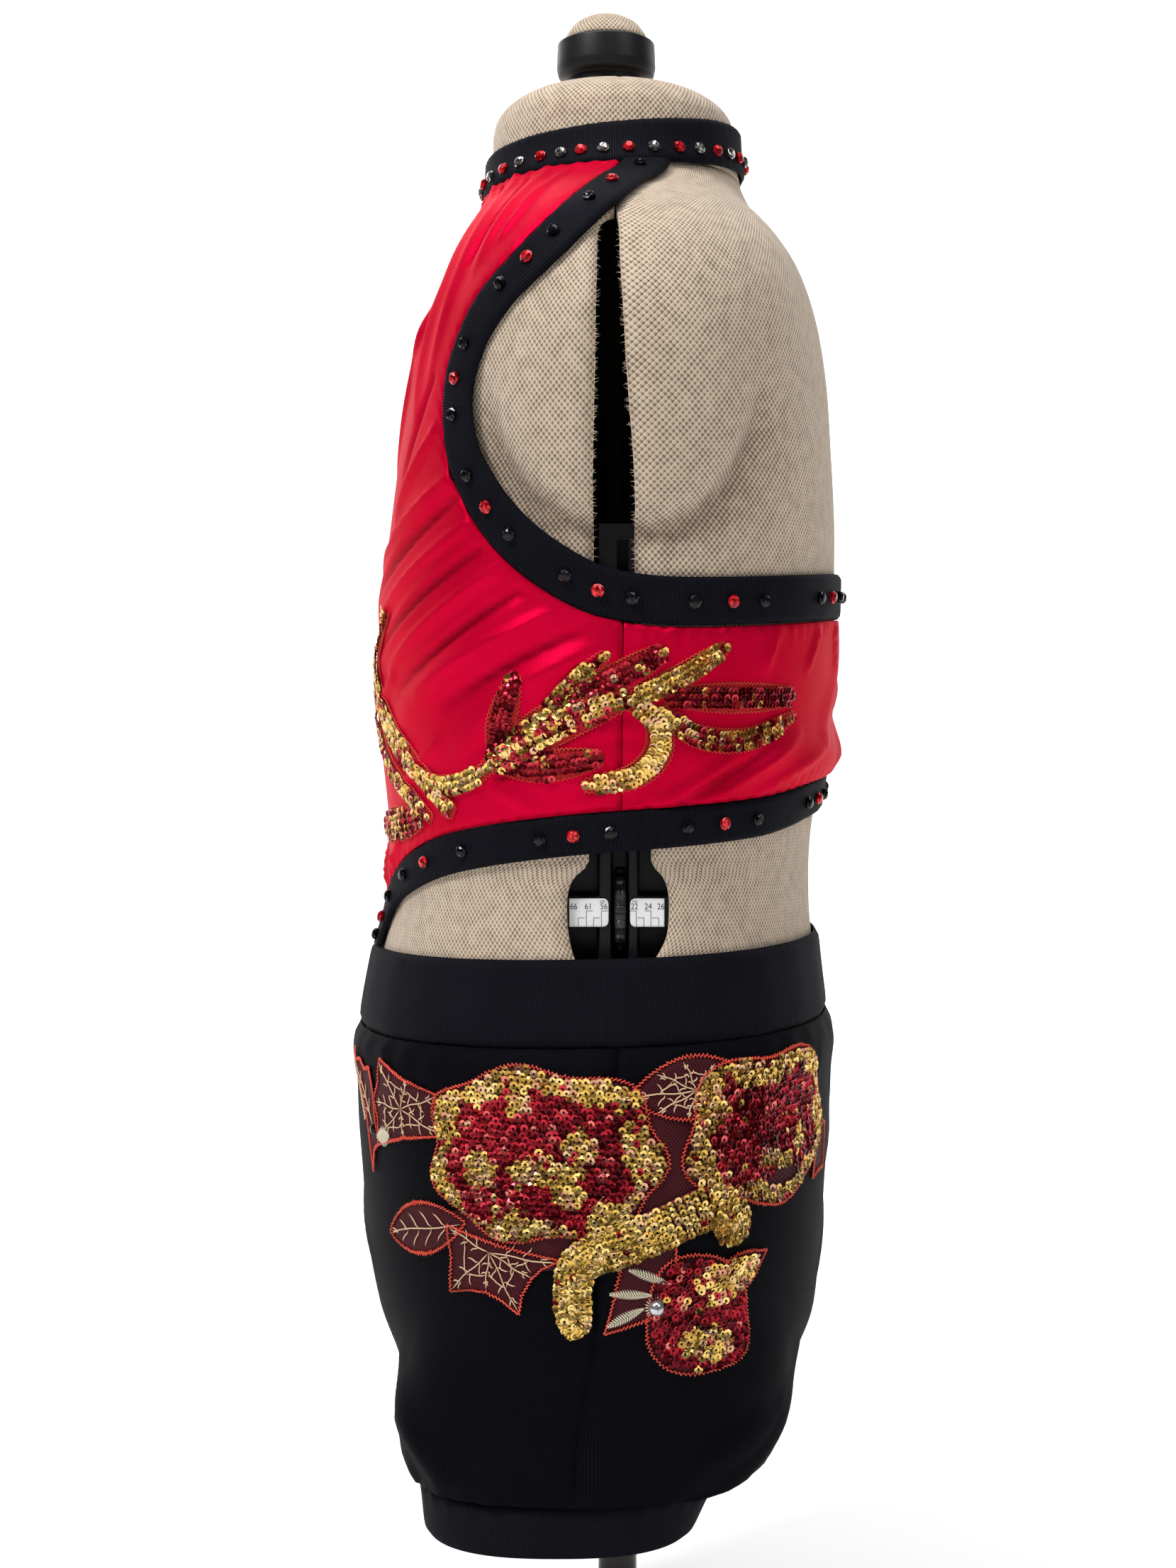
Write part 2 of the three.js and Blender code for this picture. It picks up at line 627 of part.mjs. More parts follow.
const legFront = curve(LEG, "z", "front");
const legBack = curve(LEG, "z", "back");
const legOut = curve(LEG, "z", "out");

const LEG_ROUNDNESS = 0.8; // 1 is an ellipse, less is squarer

// A ring point of one leg: turn runs from -1 at the inseam in front, by 0 at the side, to 1.
function legAt(side, turn, z) {
  const inner = CROTCH_X + INSEAM_ROOM * side;
  const outer = side * legOut(z);
  const [middle, reach] = [(inner + outer) / 2, (outer - inner) / 2];
  const depth = (legBack(z) - legFront(z)) / 2;
  const centre = (legBack(z) + legFront(z)) / 2;
  const [c, s] = [Math.cos(Math.PI * turn), Math.sin(Math.PI * turn)];
  const squared = (value) => Math.sign(value) * Math.abs(value) ** LEG_ROUNDNESS;
  return new THREE.Vector3(middle + reach * squared(c), centre + depth * squared(s), z);
}

const soft = (value) => clamp(value, 0, 1) ** 2 * (3 - 2 * clamp(value, 0, 1));

// How far the middle seam has left the centre at a height: it curves in to the crotch like a U.
function crotchShare(z) {
  const drop = clamp((HIP_LOW - z) / (HIP_LOW - CROTCH_Z), 0, 1);
  return 1 - Math.sqrt(1 - drop * drop);
}

// The shorts' cloth: the hips' section above, which passes into a ring round each leg. The outer
// side passes slowly, over the whole leg, and the inner side quickly, with the middle seam.
function shortsAt(side, turn, z) {
  const settled = soft((HIP_LOW + 18 - z) / (HIP_LOW + 18 - LEG_SEAM));
  const share = mix(settled, crotchShare(z), soft((Math.abs(turn) - 0.35) / 0.45));
  const forward = turn + 0.54 * turn * (1 - Math.abs(turn)) * settled;
  const hip = bodyAt(90 + 90 * forward, z);
  hip.x = side * Math.max(hip.x, 0.2);
  return hip.lerp(legAt(side, turn, z), share);
}

// How far the jersey stands off the hips: fullest just under the waistband, with folds below.
function shortsSwell(turn, z) {
  const phi = 90 + 90 * turn;
  const under = waistSeam(phi) - z;
  const full = 2.2 * Math.exp(-(((under - 10) / 9) ** 2)) * Math.min(under / 4, 1);
  const gathers = 0.6 * Math.cos(Math.PI * 14 * turn) * Math.exp(-(((z - 107) / 7) ** 2));
  return 0.4 + full + gathers + foldHeight(SHORTS_FOLDS, phi, z);
}

function shortsOut(side, turn, z, out) {
  // The normal is read above and below this height, kept off the sharp turn at the crotch.
  const near = (low, high) => {
    const surface = (t, h) => shortsAt(side, t / 90, clamp(h, low, high));
    return normalOf(surface, 90 * turn, clamp(z, low + 0.5, high - 0.5));
  };
  const above = near(CROTCH_Z + 1.5, WAIST_TOP);
  const below = near(CUFF_LOW, CROTCH_Z);
  const normal = below
    .lerp(above, clamp((z - CROTCH_Z + 1.5) / 3, 0, 1))
    .normalize()
    .multiplyScalar(side);
  const point = shortsAt(side, turn, z).addScaledVector(normal, out + shortsSwell(turn, z));
  const seamX = CROTCH_X * crotchShare(z);
  if (side * (point.x - seamX) < SEAM) point.x = seamX + side * SEAM;
  return point;
}

const sideLean = curve(SIDE_LEAN, "z", "turn");

// One panel of the shorts, from its middle seam to the side seam; facing is -1 in front, 1 behind.
function shortsPanel(side, facing) {
  const grid = (out) =>
    steps(SHORTS_COLUMNS).map((s) => {
      const share = facing < 0 ? 1 - s : s;
      return SHORTS_ROWS.map((z, i) => {
        const turn = mix(sideLean(z) + facing * SEAM_TURN, facing * (1 - SEAM_TURN), share);
        const height = i ? z : waistSeam(90 + 90 * turn) - SEAM;
        return shortsOut(side, turn, height, out);
      });
    });
  return wall(grid(CLOTH), grid(0));
}

function cuff(side) {
  const heights = [CUFF_LOW, mix(CUFF_LOW, LEG_SEAM, 0.5), LEG_SEAM - 0.1];
  const grid = (out) =>
    openSteps(CUFF_STEPS).map((s) => {
      const turn = 2 * s - 1;
      const surface = (t, h) => legAt(side, t / 90, h);
      return heights.map((z) => {
        const normal = normalOf(surface, 90 * turn, z).multiplyScalar(side);
        return legAt(side, turn, z).addScaledVector(normal, out);
      });
    });
  return wall(grid(0), grid(-RIB), true);
}

const SIDES = [
  ["left", 1],
  ["right", -1],
];
for (const [word, side] of SIDES) {
  add(`shorts_front_${word}`, shortsPanel(side, -1), BLACK_JERSEY);
  add(`shorts_back_${word}`, shortsPanel(side, 1), BLACK_JERSEY);
  add(`cuff_${word}`, cuff(side), BLACK_RIB);
}

// Hip applique

const PATCH_LOW = 0.6; // the patch's underside above the jersey, clear of its facets
const PATCH_HIGH = 1.6;

// Relief of the sequin flowers, the branch and the bud over the patch.
const moundHeight = (phi, z) =>
  Math.max(
    ...MOUNDS.map((m) => {
      const away = Math.hypot(((phi - m.phi) * ROUND_MM) / m.round, (z - m.z) / m.up);
      return m.height * clamp((1 - away) * 4, 0, 1);
    }),
  );

function hipPatch(side) {
  const lowOf = curve(HIP_PATCH, "phi", "low");
  const highOf = curve(HIP_PATCH, "phi", "high");
  const [first, last] = [HIP_PATCH[0].phi, HIP_PATCH[HIP_PATCH.length - 1].phi];
  const lifted = (out, relief) =>
    steps(PATCH_COLUMNS).map((column) => {
      const phi = mix(first, last, column);
      return steps(PATCH_ROWS).map((s) => {
        const z = mix(lowOf(phi), highOf(phi), s);
        return shortsOut(side, phi / 90 - 1, z, CLOTH + out + relief(phi, z));
      });
    });
  return wall(lifted(PATCH_HIGH, moundHeight), lifted(PATCH_LOW, () => 0));
}

for (const [word, side] of SIDES) add(`hip_applique_${word}`, hipPatch(side), SEQUINS);

// Dress form

// The place round the body where its surface lies a set distance from the side or centre line.
function phiAtY(distance, z, front) {
  const depth = front ? depthFront(z) : depthBack(z);
  const turn = (Math.acos((distance / depth) ** (squareness(z) / 2)) * 180) / Math.PI;
  return front ? turn : 180 - turn;
}
const phiAtX = (distance, z) =>
  (Math.asin((distance / half(z)) ** (squareness(z) / 2)) * 180) / Math.PI;

// The form's outer face lies deepest under the cloth where the shoulders turn into the neck.
const insetAt = (z) => FORM_INSET + SHOULDER_INSET * Math.exp(-(((z - 592) / 26) ** 2));

function formPanel(front) {
  const gapOf = curve(SIDE_GAP, "z", front ? "front" : "back");
  const centreGap = (z) => mix(CENTRE_GAP, SEAM, clamp((z - 560) / 30, 0, 1));
  const grid = (inward) =>
    steps(FORM_COLUMNS).map((s) =>
      FORM_ROWS.map((z) => {
        const centre = phiAtX(centreGap(z), z);
        const side = phiAtY(Math.max(gapOf(z), SEAM), z, front);
        const phi = mix(front ? centre : 180 - centre, side, s);
        return bodyOut(phi, z, -insetAt(z) - inward);
      }),
    );
  return wall(grid(0), grid(SHELL));
}

// The neck block: the body's rings up to the dome, which shrink towards its top.
function neckBlock() {
  const ring = (z) => openSteps(NECK_STEPS).map((s) => bodyOut(360 * s, z, -FORM_INSET));
  const lower = [NECK_LOW, 628].map(ring);
  const dome = NECK_DOME.map(({ z, share }) =>
    ring(NECK_DOME[0].z).map((point) => new THREE.Vector3(point.x * share, point.y * share, z)),
  );
  const rings = [...lower, ...dome];
  const count = rings[0].length;
  const points = rings.flat();
  const faces = [];
  rings.slice(1).forEach((_, r) => {
    for (let i = 0; i < count; i += 1) {
      const [a, b] = [r * count + i, r * count + ((i + 1) % count)];
      faces.push(a, b, b + count, a, b + count, a + count);
    }
  });
  const [floorPoint, topPoint] = [points.length, points.length + 1];
  points.push(new THREE.Vector3(0, 0, NECK_LOW), new THREE.Vector3(0, 0, NECK_TOP));
  const lastRing = (rings.length - 1) * count;
  for (let i = 0; i < count; i += 1) {
    const next = (i + 1) % count;
    faces.push(floorPoint, next, i, topPoint, lastRing + i, lastRing + next);
  }
  return closedGeometry(points, faces);
}

const frontPlate = formPanel(true);
const backPlate = formPanel(false);
add("form_front_left", frontPlate, FORM_CLOTH);
add("form_front_right", mirrored(frontPlate), FORM_CLOTH);
add("form_back_left", backPlate, FORM_CLOTH);
add("form_back_right", mirrored(backPlate), FORM_CLOTH);
add("form_neck", neckBlock(), FORM_CLOTH);

// A turned piece on the vertical axis, from a profile of [radius, height] pairs.
function turned(profile, segments) {
  const points = profile.map(([r, z]) => new THREE.Vector2(r, z));
  return new THREE.LatheGeometry(points, segments).rotateX(Math.PI / 2);
}

const KNOB_LOW = NECK_TOP + SEAM;
// The knob's outline: a stem, then a rim that flares out and in again to the pincushion's seat.
const knobOutline = [
  [0, 0], [15, 0], [16.5, 1.5], [16.5, 5.6], [20, 6.6], [20.8, 10], [20.4, 20], [18.4, 21], [17.9, 20.2], [0, 20.2],
];
const domeOutline = [[0, 20.5], [17.4, 20.5], [17, 23.5], [13.4, 28.5], [7, 31.8], [0, 32.8]];
const onNeck = (outline) => outline.map(([r, h]) => [r, KNOB_LOW + h]);
add("form_knob", turned(onNeck(knobOutline), 22).translate(0, KNOB_Y, 0), BLACK_PLASTIC);
add("form_pincushion", turned(onNeck(domeOutline), 18).translate(0, KNOB_Y, 0), FORM_CLOTH);

// Stand

const floor = -DATUM_RISE;
const poleLow = floor + BASE_THICK + SEAM;
const poleHigh = NECK_LOW - SEAM;
const pole = [[0, poleLow], [POLE_RADIUS, poleLow], [POLE_RADIUS, poleHigh], [0, poleHigh]];
add("pole", turned(pole, 20).translate(0, POLE_Y, 0), STAND_METAL);

const basePlate = [
  [0, floor],
  [BASE_RADIUS - 1, floor],
  [BASE_RADIUS, floor + 1],
  [BASE_RADIUS, floor + 6],
  [BASE_RADIUS - 6, floor + 9],
  [30, floor + BASE_THICK],
  [0, floor + BASE_THICK],
];
add("stand_base", turned(basePlate, 40), STAND_METAL);

// Adjusters inside the form: a hub on the pole with an arm to each side.

const HUB = { radius: 15, height: 12, armWidth: 11, armHeight: 10, play: 0.4 };

function adjuster(z, reach) {
  const upright = (radius, height, segments) =>
    new THREE.CylinderGeometry(radius, radius, height, segments).rotateX(Math.PI / 2).translate(0, POLE_Y, z);
  const hub = asManifold(upright(HUB.radius, HUB.height, 24));
  const arm = asManifold(new THREE.BoxGeometry(2 * reach, HUB.armWidth, HUB.armHeight).translate(0, POLE_Y, z));
  const bore = asManifold(upright(POLE_RADIUS + HUB.play, 2 * HUB.height, 20));
  return asGeometry(hub.add(arm).subtract(bore));
}

const box = (low, high) =>
  new THREE.BoxGeometry(high[0] - low[0], high[1] - low[1], high[2] - low[2]).translate(
    (low[0] + high[0]) / 2,
    (low[1] + high[1]) / 2,
    (low[2] + high[2]) / 2,
  );

// The waist dial: a housing with a slot, the wheel in the slot and a white scale on each side.
const DIAL = {
  z: 321,
  low: 292,
  high: 350,
  front: -23,
  rear: 21,
  face: 109.6,
  back: 98,
  slotLow: 298,
  slotHigh: 344,
  slotHalf: 3,
  wheelX: 94,
  wheelY: 2,
  wheelRadius: 18,
  wheelThick: 4.6,
};
const SCALE = { low: 316, high: 326.5, thick: 0.8, frontFrom: -17, frontTo: -2.4, backFrom: 5.6, backTo: 18.3 };

const slot = asManifold(
  box(
    [DIAL.back - 5, DIAL.wheelY - DIAL.slotHalf, DIAL.slotLow],
    [DIAL.face + 5, DIAL.wheelY + DIAL.slotHalf, DIAL.slotHigh],
  ),
);
const housing = asGeometry(
  asManifold(box([DIAL.back, DIAL.front, DIAL.low], [DIAL.face, DIAL.rear, DIAL.high])).subtract(slot),
);
const wheel = new THREE.CylinderGeometry(DIAL.wheelRadius, DIAL.wheelRadius, DIAL.wheelThick, 32);
const scale = (from, to) =>
  box([DIAL.face + SEAM, from, SCALE.low], [DIAL.face + SEAM + SCALE.thick, to, SCALE.high]);
add("dial_housing_left", housing, BLACK_PLASTIC);
add("dial_housing_right", mirrored(housing), BLACK_PLASTIC);
add("dial_wheel_left", wheel.translate(DIAL.wheelX, DIAL.wheelY, DIAL.z), BLACK_PLASTIC);
add("dial_scale_front_left", scale(SCALE.frontFrom, SCALE.frontTo), WHITE_PLASTIC);
add("dial_scale_back_left", scale(SCALE.backFrom, SCALE.backTo), WHITE_PLASTIC);

// The chest slider: a box with a slot, behind the side gap.
const SLIDER = { back: 112, face: 125.2, low: 440, high: 464, armZ: 452 };
const groove = asManifold(box([SLIDER.face - 6, 0.5, SLIDER.low + 5], [SLIDER.face + 5, 4.7, SLIDER.high - 6]));
const slider = asGeometry(
  asManifold(box([SLIDER.back, -6, SLIDER.low], [SLIDER.face, 8.5, SLIDER.high])).subtract(groove),
);
add("slider_left", slider, BLACK_PLASTIC);
add("slider_right", mirrored(slider), BLACK_PLASTIC);
add("adjuster_chest", adjuster(SLIDER.armZ, SLIDER.back - SEAM), BLACK_PLASTIC);
add("adjuster_waist", adjuster(DIAL.z, DIAL.wheelX - DIAL.wheelRadius - SEAM), BLACK_PLASTIC);

const part = new THREE.Group();
part.add(figure);

export default part;
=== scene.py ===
# %% [markdown]
# # A halter dance costume on a dress form
# The solids of the part come in as a fixed frame. Each piece of cloth is then built again on the
# form of its solid, with the fine folds, ribs, stitches and sequins that the solids leave out.
# Every length below is in millimetres, and the heights in the tables start 30 mm above the floor.

import bmesh
import bpy
import json
import mathutils
import numpy as np
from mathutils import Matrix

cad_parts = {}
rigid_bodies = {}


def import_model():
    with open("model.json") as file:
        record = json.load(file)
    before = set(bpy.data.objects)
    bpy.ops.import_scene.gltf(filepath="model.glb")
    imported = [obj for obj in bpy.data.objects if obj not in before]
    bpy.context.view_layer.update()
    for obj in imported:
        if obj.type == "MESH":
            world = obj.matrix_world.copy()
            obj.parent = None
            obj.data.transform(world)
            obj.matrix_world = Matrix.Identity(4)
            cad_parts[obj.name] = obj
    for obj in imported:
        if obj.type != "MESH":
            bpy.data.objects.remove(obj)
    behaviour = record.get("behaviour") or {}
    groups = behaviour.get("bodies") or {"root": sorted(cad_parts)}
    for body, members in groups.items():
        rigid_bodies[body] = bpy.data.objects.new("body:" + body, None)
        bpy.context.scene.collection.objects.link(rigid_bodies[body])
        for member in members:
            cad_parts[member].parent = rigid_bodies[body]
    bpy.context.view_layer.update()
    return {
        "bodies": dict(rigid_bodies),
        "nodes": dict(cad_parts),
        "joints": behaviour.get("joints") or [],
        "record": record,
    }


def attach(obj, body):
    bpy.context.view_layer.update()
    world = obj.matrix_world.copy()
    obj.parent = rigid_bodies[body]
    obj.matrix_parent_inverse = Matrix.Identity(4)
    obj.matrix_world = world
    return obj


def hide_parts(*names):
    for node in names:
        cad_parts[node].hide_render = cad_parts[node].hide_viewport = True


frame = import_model()
print("solids:", len(frame["nodes"]))

# %% [markdown]
# ## The body's surface
# All the cloth lies on one body. Its sections are superellipses: ovals whose squareness can be set.
# A table gives a few sections by height, and a smooth curve through the rows gives all the others.
# One formula for the whole body keeps neighbouring pieces in step, because they share its points.

# %% Curves through tables
DATUM_RISE = 30.0


def curve(x, y):
    """A cubic through table rows: between two rows it leaves and arrives with their mean slopes."""
    x, y = np.asarray(x, float), np.asarray(y, float)
    slope = np.zeros_like(y)
    slope[1:-1] = (y[2:] - y[:-2]) / (x[2:] - x[:-2])
    slope[0], slope[-1] = (y[1] - y[0]) / (x[1] - x[0]), (y[-1] - y[-2]) / (x[-1] - x[-2])

    def at(q):
        q = np.asarray(q, float)
        i = np.clip(np.searchsorted(x, q) - 1, 0, len(x) - 2)
        span = x[i + 1] - x[i]
        t = np.clip((q - x[i]) / span, 0, 1)
        ease = 3 * t**2 - 2 * t**3
        rest = (t**3 - 2 * t**2 + t) * slope[i] * span + (t**3 - t**2) * slope[i + 1] * span
        return y[i] + (y[i + 1] - y[i]) * ease + rest

    return at


def mix(a, b, t):
    return a + (b - a) * t


def soft(t):
    """A step from 0 to 1 with level ends: 3 t squared minus 2 t cubed."""
    t = np.clip(t, 0, 1)
    return t * t * (3 - 2 * t)


# %% Body sections
# height, half width, depth in front, depth behind, squareness
BODY = np.array([
    (100, 119, 84, 66, 2.3), (125, 121.5, 88, 70, 2.3), (150, 125.5, 93, 80, 2.3),
    (180, 131, 99, 84, 2.3), (210, 134, 101.5, 86, 2.3), (240, 134, 103.5, 88, 2.3),
    (270, 129, 102.5, 87, 2.3), (300, 121, 97.5, 84, 2.25), (320, 118, 93, 82.5, 2.2),
    (345, 119, 91, 83, 2.2), (380, 124, 94, 88, 2.2), (410, 128, 95.5, 91, 2.25),
    (440, 131, 94, 92, 2.35), (470, 137, 90, 92, 2.45), (500, 144, 85.5, 90, 2.55),
    (525, 148, 80.8, 88, 2.6), (545, 148, 75, 85, 2.6), (560, 144, 69.2, 81.5, 2.55),
    (572, 137, 64.6, 77.5, 2.5), (582, 126, 60.4, 73, 2.4), (590, 112, 57, 69, 2.3),
    (597, 96, 54.6, 65, 2.2), (603, 80, 53, 61, 2.1), (610, 67, 52.2, 57.5, 2.05),
    (618, 60, 51.2, 54.5, 2.0), (630, 56, 50.8, 52.5, 2.0), (645, 54.5, 50.5, 52, 2.0),
    (660, 53, 49.5, 50, 2.0),
])
half_width, depth_front, depth_back, squareness = (curve(BODY[:, 0], BODY[:, k]) for k in (1, 2, 3, 4))


def body(phi, z):
    """x is half width times sine to the power 2/n, y is minus depth times cosine to that power."""
    phi, z = np.broadcast_arrays(np.asarray(phi, float), np.asarray(z, float))
    s, c, power = np.sin(np.radians(phi)), np.cos(np.radians(phi)), 2 / squareness(z)
    depth = np.where(c > 0, depth_front(z), depth_back(z))
    x = half_width(z) * np.sign(s) * np.abs(s) ** power
    return np.stack([x, -depth * np.sign(c) * np.abs(c) ** power, z], -1)


def unit(v):
    return v / np.maximum(np.linalg.norm(v, axis=-1, keepdims=True), 1e-12)


def normal_of(surface, a, b):
    """The outward normal: the cross product of small steps round the surface and up it."""
    round_ = surface(a + 0.5, b) - surface(a - 0.5, b)
    up = surface(a, b + 0.5) - surface(a, b - 0.5)
    return unit(np.cross(round_, up))


def body_out(phi, z, out):
    return body(phi, z) + normal_of(body, phi, z) * np.asarray(out, float)[..., None]


# %% [markdown]
# ## Edges and lines across them
# A garment's edge is a curve on the body, given by a few points. A band is sewn along it, so its
# far side has to be found by walking over the surface at a right angle to the edge.

# %% Edges
# degrees round the body from the centre front, height
ARM_EDGE = np.array([
    (97, 622), (92, 610), (86, 600), (80, 587), (73, 574), (65, 562.5), (57, 552), (51, 540), (47.5, 526),
    (46.5, 512), (48, 498), (52, 483), (59, 467), (67, 453), (76, 441), (86, 431), (96, 427), (112, 427),
    (135, 429.5), (160, 433), (180, 435),
], float)
HEM_EDGE = np.array([
    (10.5, 290), (11.5, 303), (13.5, 316), (17.5, 327), (24, 335.5), (34, 342.5), (46, 348.5), (60, 353),
    (75, 356.5), (91, 359.3), (106, 361), (129, 364), (150, 369), (180, 374),
], float)
CLOTH, RIB, EASE, SEAM = 1.2, 2.0, 0.2, 0.3
SIDE_SEAM, SEAM_DEGREES = 91.0, 0.1
ARM_BAND_WIDTH, HEM_BAND_WIDTH = 18.0, 15.0
STRIDES = 6


def edge_of(table):
    t = np.linspace(0, 1, len(table))
    phi, z = curve(t, table[:, 0]), curve(t, table[:, 1])
    return lambda s: (phi(s), z(s))


def across(edge, t, length):
    """Short strides over the surface, each at a right angle to the edge's direction at t."""
    t, length = np.broadcast_arrays(np.asarray(t, float), np.asarray(length, float))
    before, after = edge(np.maximum(t - 0.002, 0)), edge(np.minimum(t + 0.002, 1))
    travel = unit(body(*after) - body(*before))
    phi, z = edge(t)
    for _ in range(STRIDES):
        side = unit(np.cross(normal_of(body, phi, z), travel)) * (length / STRIDES)[..., None]
        round_ = body(phi + 0.5, z) - body(phi - 0.5, z)
        up = body(phi, z + 0.5) - body(phi, z - 0.5)
        rr, ru, uu = (round_**2).sum(-1), (round_ * up).sum(-1), (up**2).sum(-1)
        sr, su = (side * round_).sum(-1), (side * up).sum(-1)
        det = rr * uu - ru * ru
        phi, z = phi + (sr * uu - su * ru) / det, z + (su * rr - sr * ru) / det
    return phi, z


def where_changes(test, low, high):
    """Halves the span 40 times to find where a test on each t changes from true to false."""
    low, high = np.array(low, float), np.array(high, float)
    for _ in range(40):
        middle = (low + high) / 2
        yes = test(middle)
        low, high = np.where(yes, middle, low), np.where(yes, high, middle)
    return (low + high) / 2


def collar_low(phi):
    return 610 + 9.6 * ((1 - np.cos(np.radians(phi))) / 2) ** 3.2


def collar_high(phi):
    return 627 + 11.7 * ((1 - np.cos(np.radians(phi))) / 2) ** 2.2


def waist_top(phi):
    return 305 - 3 * np.cos(np.radians(phi))


def waist_seam(phi):
    return 273.5 - 3 * np.cos(np.radians(phi))


arm_edge, hem_edge = edge_of(ARM_EDGE), edge_of(HEM_EDGE)
arm_start = where_changes(lambda t: arm_edge(t)[1] > collar_low(arm_edge(t)[0]) - SEAM, 0, 0.2)
arm_seam = where_changes(lambda t: arm_edge(t)[0] < SIDE_SEAM, 0.5, 1)
hem_seam = where_changes(lambda t: hem_edge(t)[0] < SIDE_SEAM, 0, 1)
hem_start = where_changes(lambda t: hem_edge(t)[1] < waist_top(hem_edge(t)[0]) + SEAM, 0, 0.4)
print("the arm band starts at", np.round(arm_edge(arm_start), 1))
print("the lower band starts at", np.round(hem_edge(hem_start), 1))

# %% [markdown]
# ## Folds
# Cloth that is pulled to a seam lies in soft ridges that run from the seam and fade. Each fold here
# is a line on the body with a width and a height: the height falls off beside the line like a bell,
# and fades at both ends. The first rows are the solids' own folds. The later ones are finer creases,
# and a minus height is a trough.

# %% Fold heights
ROUND_MM = 2.2
# degrees and height where it starts, the same where it ends, half width, height
TOP_FOLDS = [
    (12, 606, 22, 520, 4.5, 2.2), (27, 608, 31, 505, 5, 2.6), (44, 608, 38, 520, 4.5, 2.4),
    (62, 608, 48, 556, 4.5, 2.2), (44, 470, 6, 434, 7, 2.2), (56, 452, 14, 410, 7, 2.6),
    (70, 432, 30, 392, 7, 2.4), (86, 420, 52, 380, 6, 1.8), (166, 422, 150, 384, 7, 1.6),
]
SHORTS_FOLDS = [
    (93, 109, 122, 134, 6, 2.4), (112, 109, 148, 152, 6, 2.4), (70, 109, 34, 148, 7, 2.4),
    (52, 108, 26, 124, 5, 1.8),
]


def fold_height(folds, phi, z):
    """Sum of height times end fade times exp(-(distance / width) squared) over the folds."""
    phi, z = np.broadcast_arrays(np.asarray(phi, float), np.asarray(z, float))
    round_ = np.where(phi > 180, 360 - phi, np.abs(phi))
    total = np.zeros(phi.shape)
    for phi_a, z_a, phi_b, z_b, width, height in folds:
        dx, dz = (phi_b - phi_a) * ROUND_MM, z_b - z_a
        px, pz = (round_ - phi_a) * ROUND_MM, z - z_a
        t = np.clip((px * dx + pz * dz) / (dx * dx + dz * dz), 0, 1)
        apart = np.hypot(px - t * dx, pz - t * dz)
        fade = np.sin(np.pi * (0.12 + 0.88 * t)) ** 0.6
        total += height * fade * np.exp(-((apart / width) ** 2))
    return total


def satin_out(phi, z):
    """How far the satin's inner face stands off the body: folds, and a soft roll low down behind."""
    behind = np.maximum(0, -np.cos(np.radians(phi)))
    roll = 4.5 * behind * np.exp(-(((z - 379) / 9) ** 2))
    return EASE + fold_height(TOP_FOLDS, phi, z) + roll


# %% [markdown]
# ## The shape of the shorts
# Above the hips' low line the shorts follow the body. Below it the section passes into a ring round
# each leg, and the middle seam curves in to the crotch like a U.

# %% Shorts surface
HIP_LOW, CROTCH_Z, CROTCH_X, LEG_SEAM, CUFF_LOW, INSEAM_ROOM = 160.0, 126.0, 20.0, 102.4, 82.0, 3.0
# height, most forward, most backward, most outward reach
LEG = np.array([
    (82, -73.5, 31, 113.5), (102.4, -75.5, 41, 116.5), (104, -76, 44.5, 116.8), (108, -77.5, 55, 118.5),
    (114, -80.5, 60.5, 119.5), (126, -85, 66, 121.5), (160, -92, 80, 125),
])
leg_front, leg_back, leg_out = (curve(LEG[:, 0], LEG[:, k]) for k in (1, 2, 3))
side_lean = curve([103, 140, 190, 274], [-0.006, -0.022, -0.034, 0.006])


def leg_at(side, turn, z):
    """A squared ring: turn runs from -1 at the inseam in front, by 0 at the side, to 1 behind."""
    turn, z = np.broadcast_arrays(np.asarray(turn, float), np.asarray(z, float))
    inner, outer = CROTCH_X + INSEAM_ROOM * side, side * leg_out(z)
    c, s = np.cos(np.pi * turn), np.sin(np.pi * turn)
    x = (inner + outer) / 2 + (outer - inner) / 2 * np.sign(c) * np.abs(c) ** 0.8
    middle, reach = (leg_back(z) + leg_front(z)) / 2, (leg_back(z) - leg_front(z)) / 2
    return np.stack([x, middle + reach * np.sign(s) * np.abs(s) ** 0.8, z], -1)


def crotch_share(z):
    drop = np.clip((HIP_LOW - z) / (HIP_LOW - CROTCH_Z), 0, 1)
    return 1 - np.sqrt(1 - drop * drop)


def shorts_at(side, turn, z):
    """The hips' section mixed with the leg's ring, slowly at the side and quickly at the inseam."""
    turn, z = np.broadcast_arrays(np.asarray(turn, float), np.asarray(z, float))
    settled = soft((HIP_LOW + 18 - z) / (HIP_LOW + 18 - LEG_SEAM))
    share = mix(settled, crotch_share(z), soft((np.abs(turn) - 0.35) / 0.45))[..., None]
    hip = body(90 + 90 * (turn + 0.54 * turn * (1 - np.abs(turn)) * settled), z).copy()
    hip[..., 0] = side * np.maximum(hip[..., 0], 0.2)
    return hip * (1 - share) + leg_at(side, turn, z) * share


def shorts_swell(turn, z):
    """Fullest just under the waistband, gathered at the cuff, with folds between."""
    phi = 90 + 90 * turn
    under = waist_seam(phi) - z
    full = 2.2 * np.exp(-(((under - 10) / 9) ** 2)) * np.minimum(under / 4, 1)
    gathers = 0.6 * np.cos(np.pi * 14 * turn) * np.exp(-(((z - 107) / 7) ** 2))
    return 0.4 + full + gathers + fold_height(SHORTS_FOLDS, phi, z)


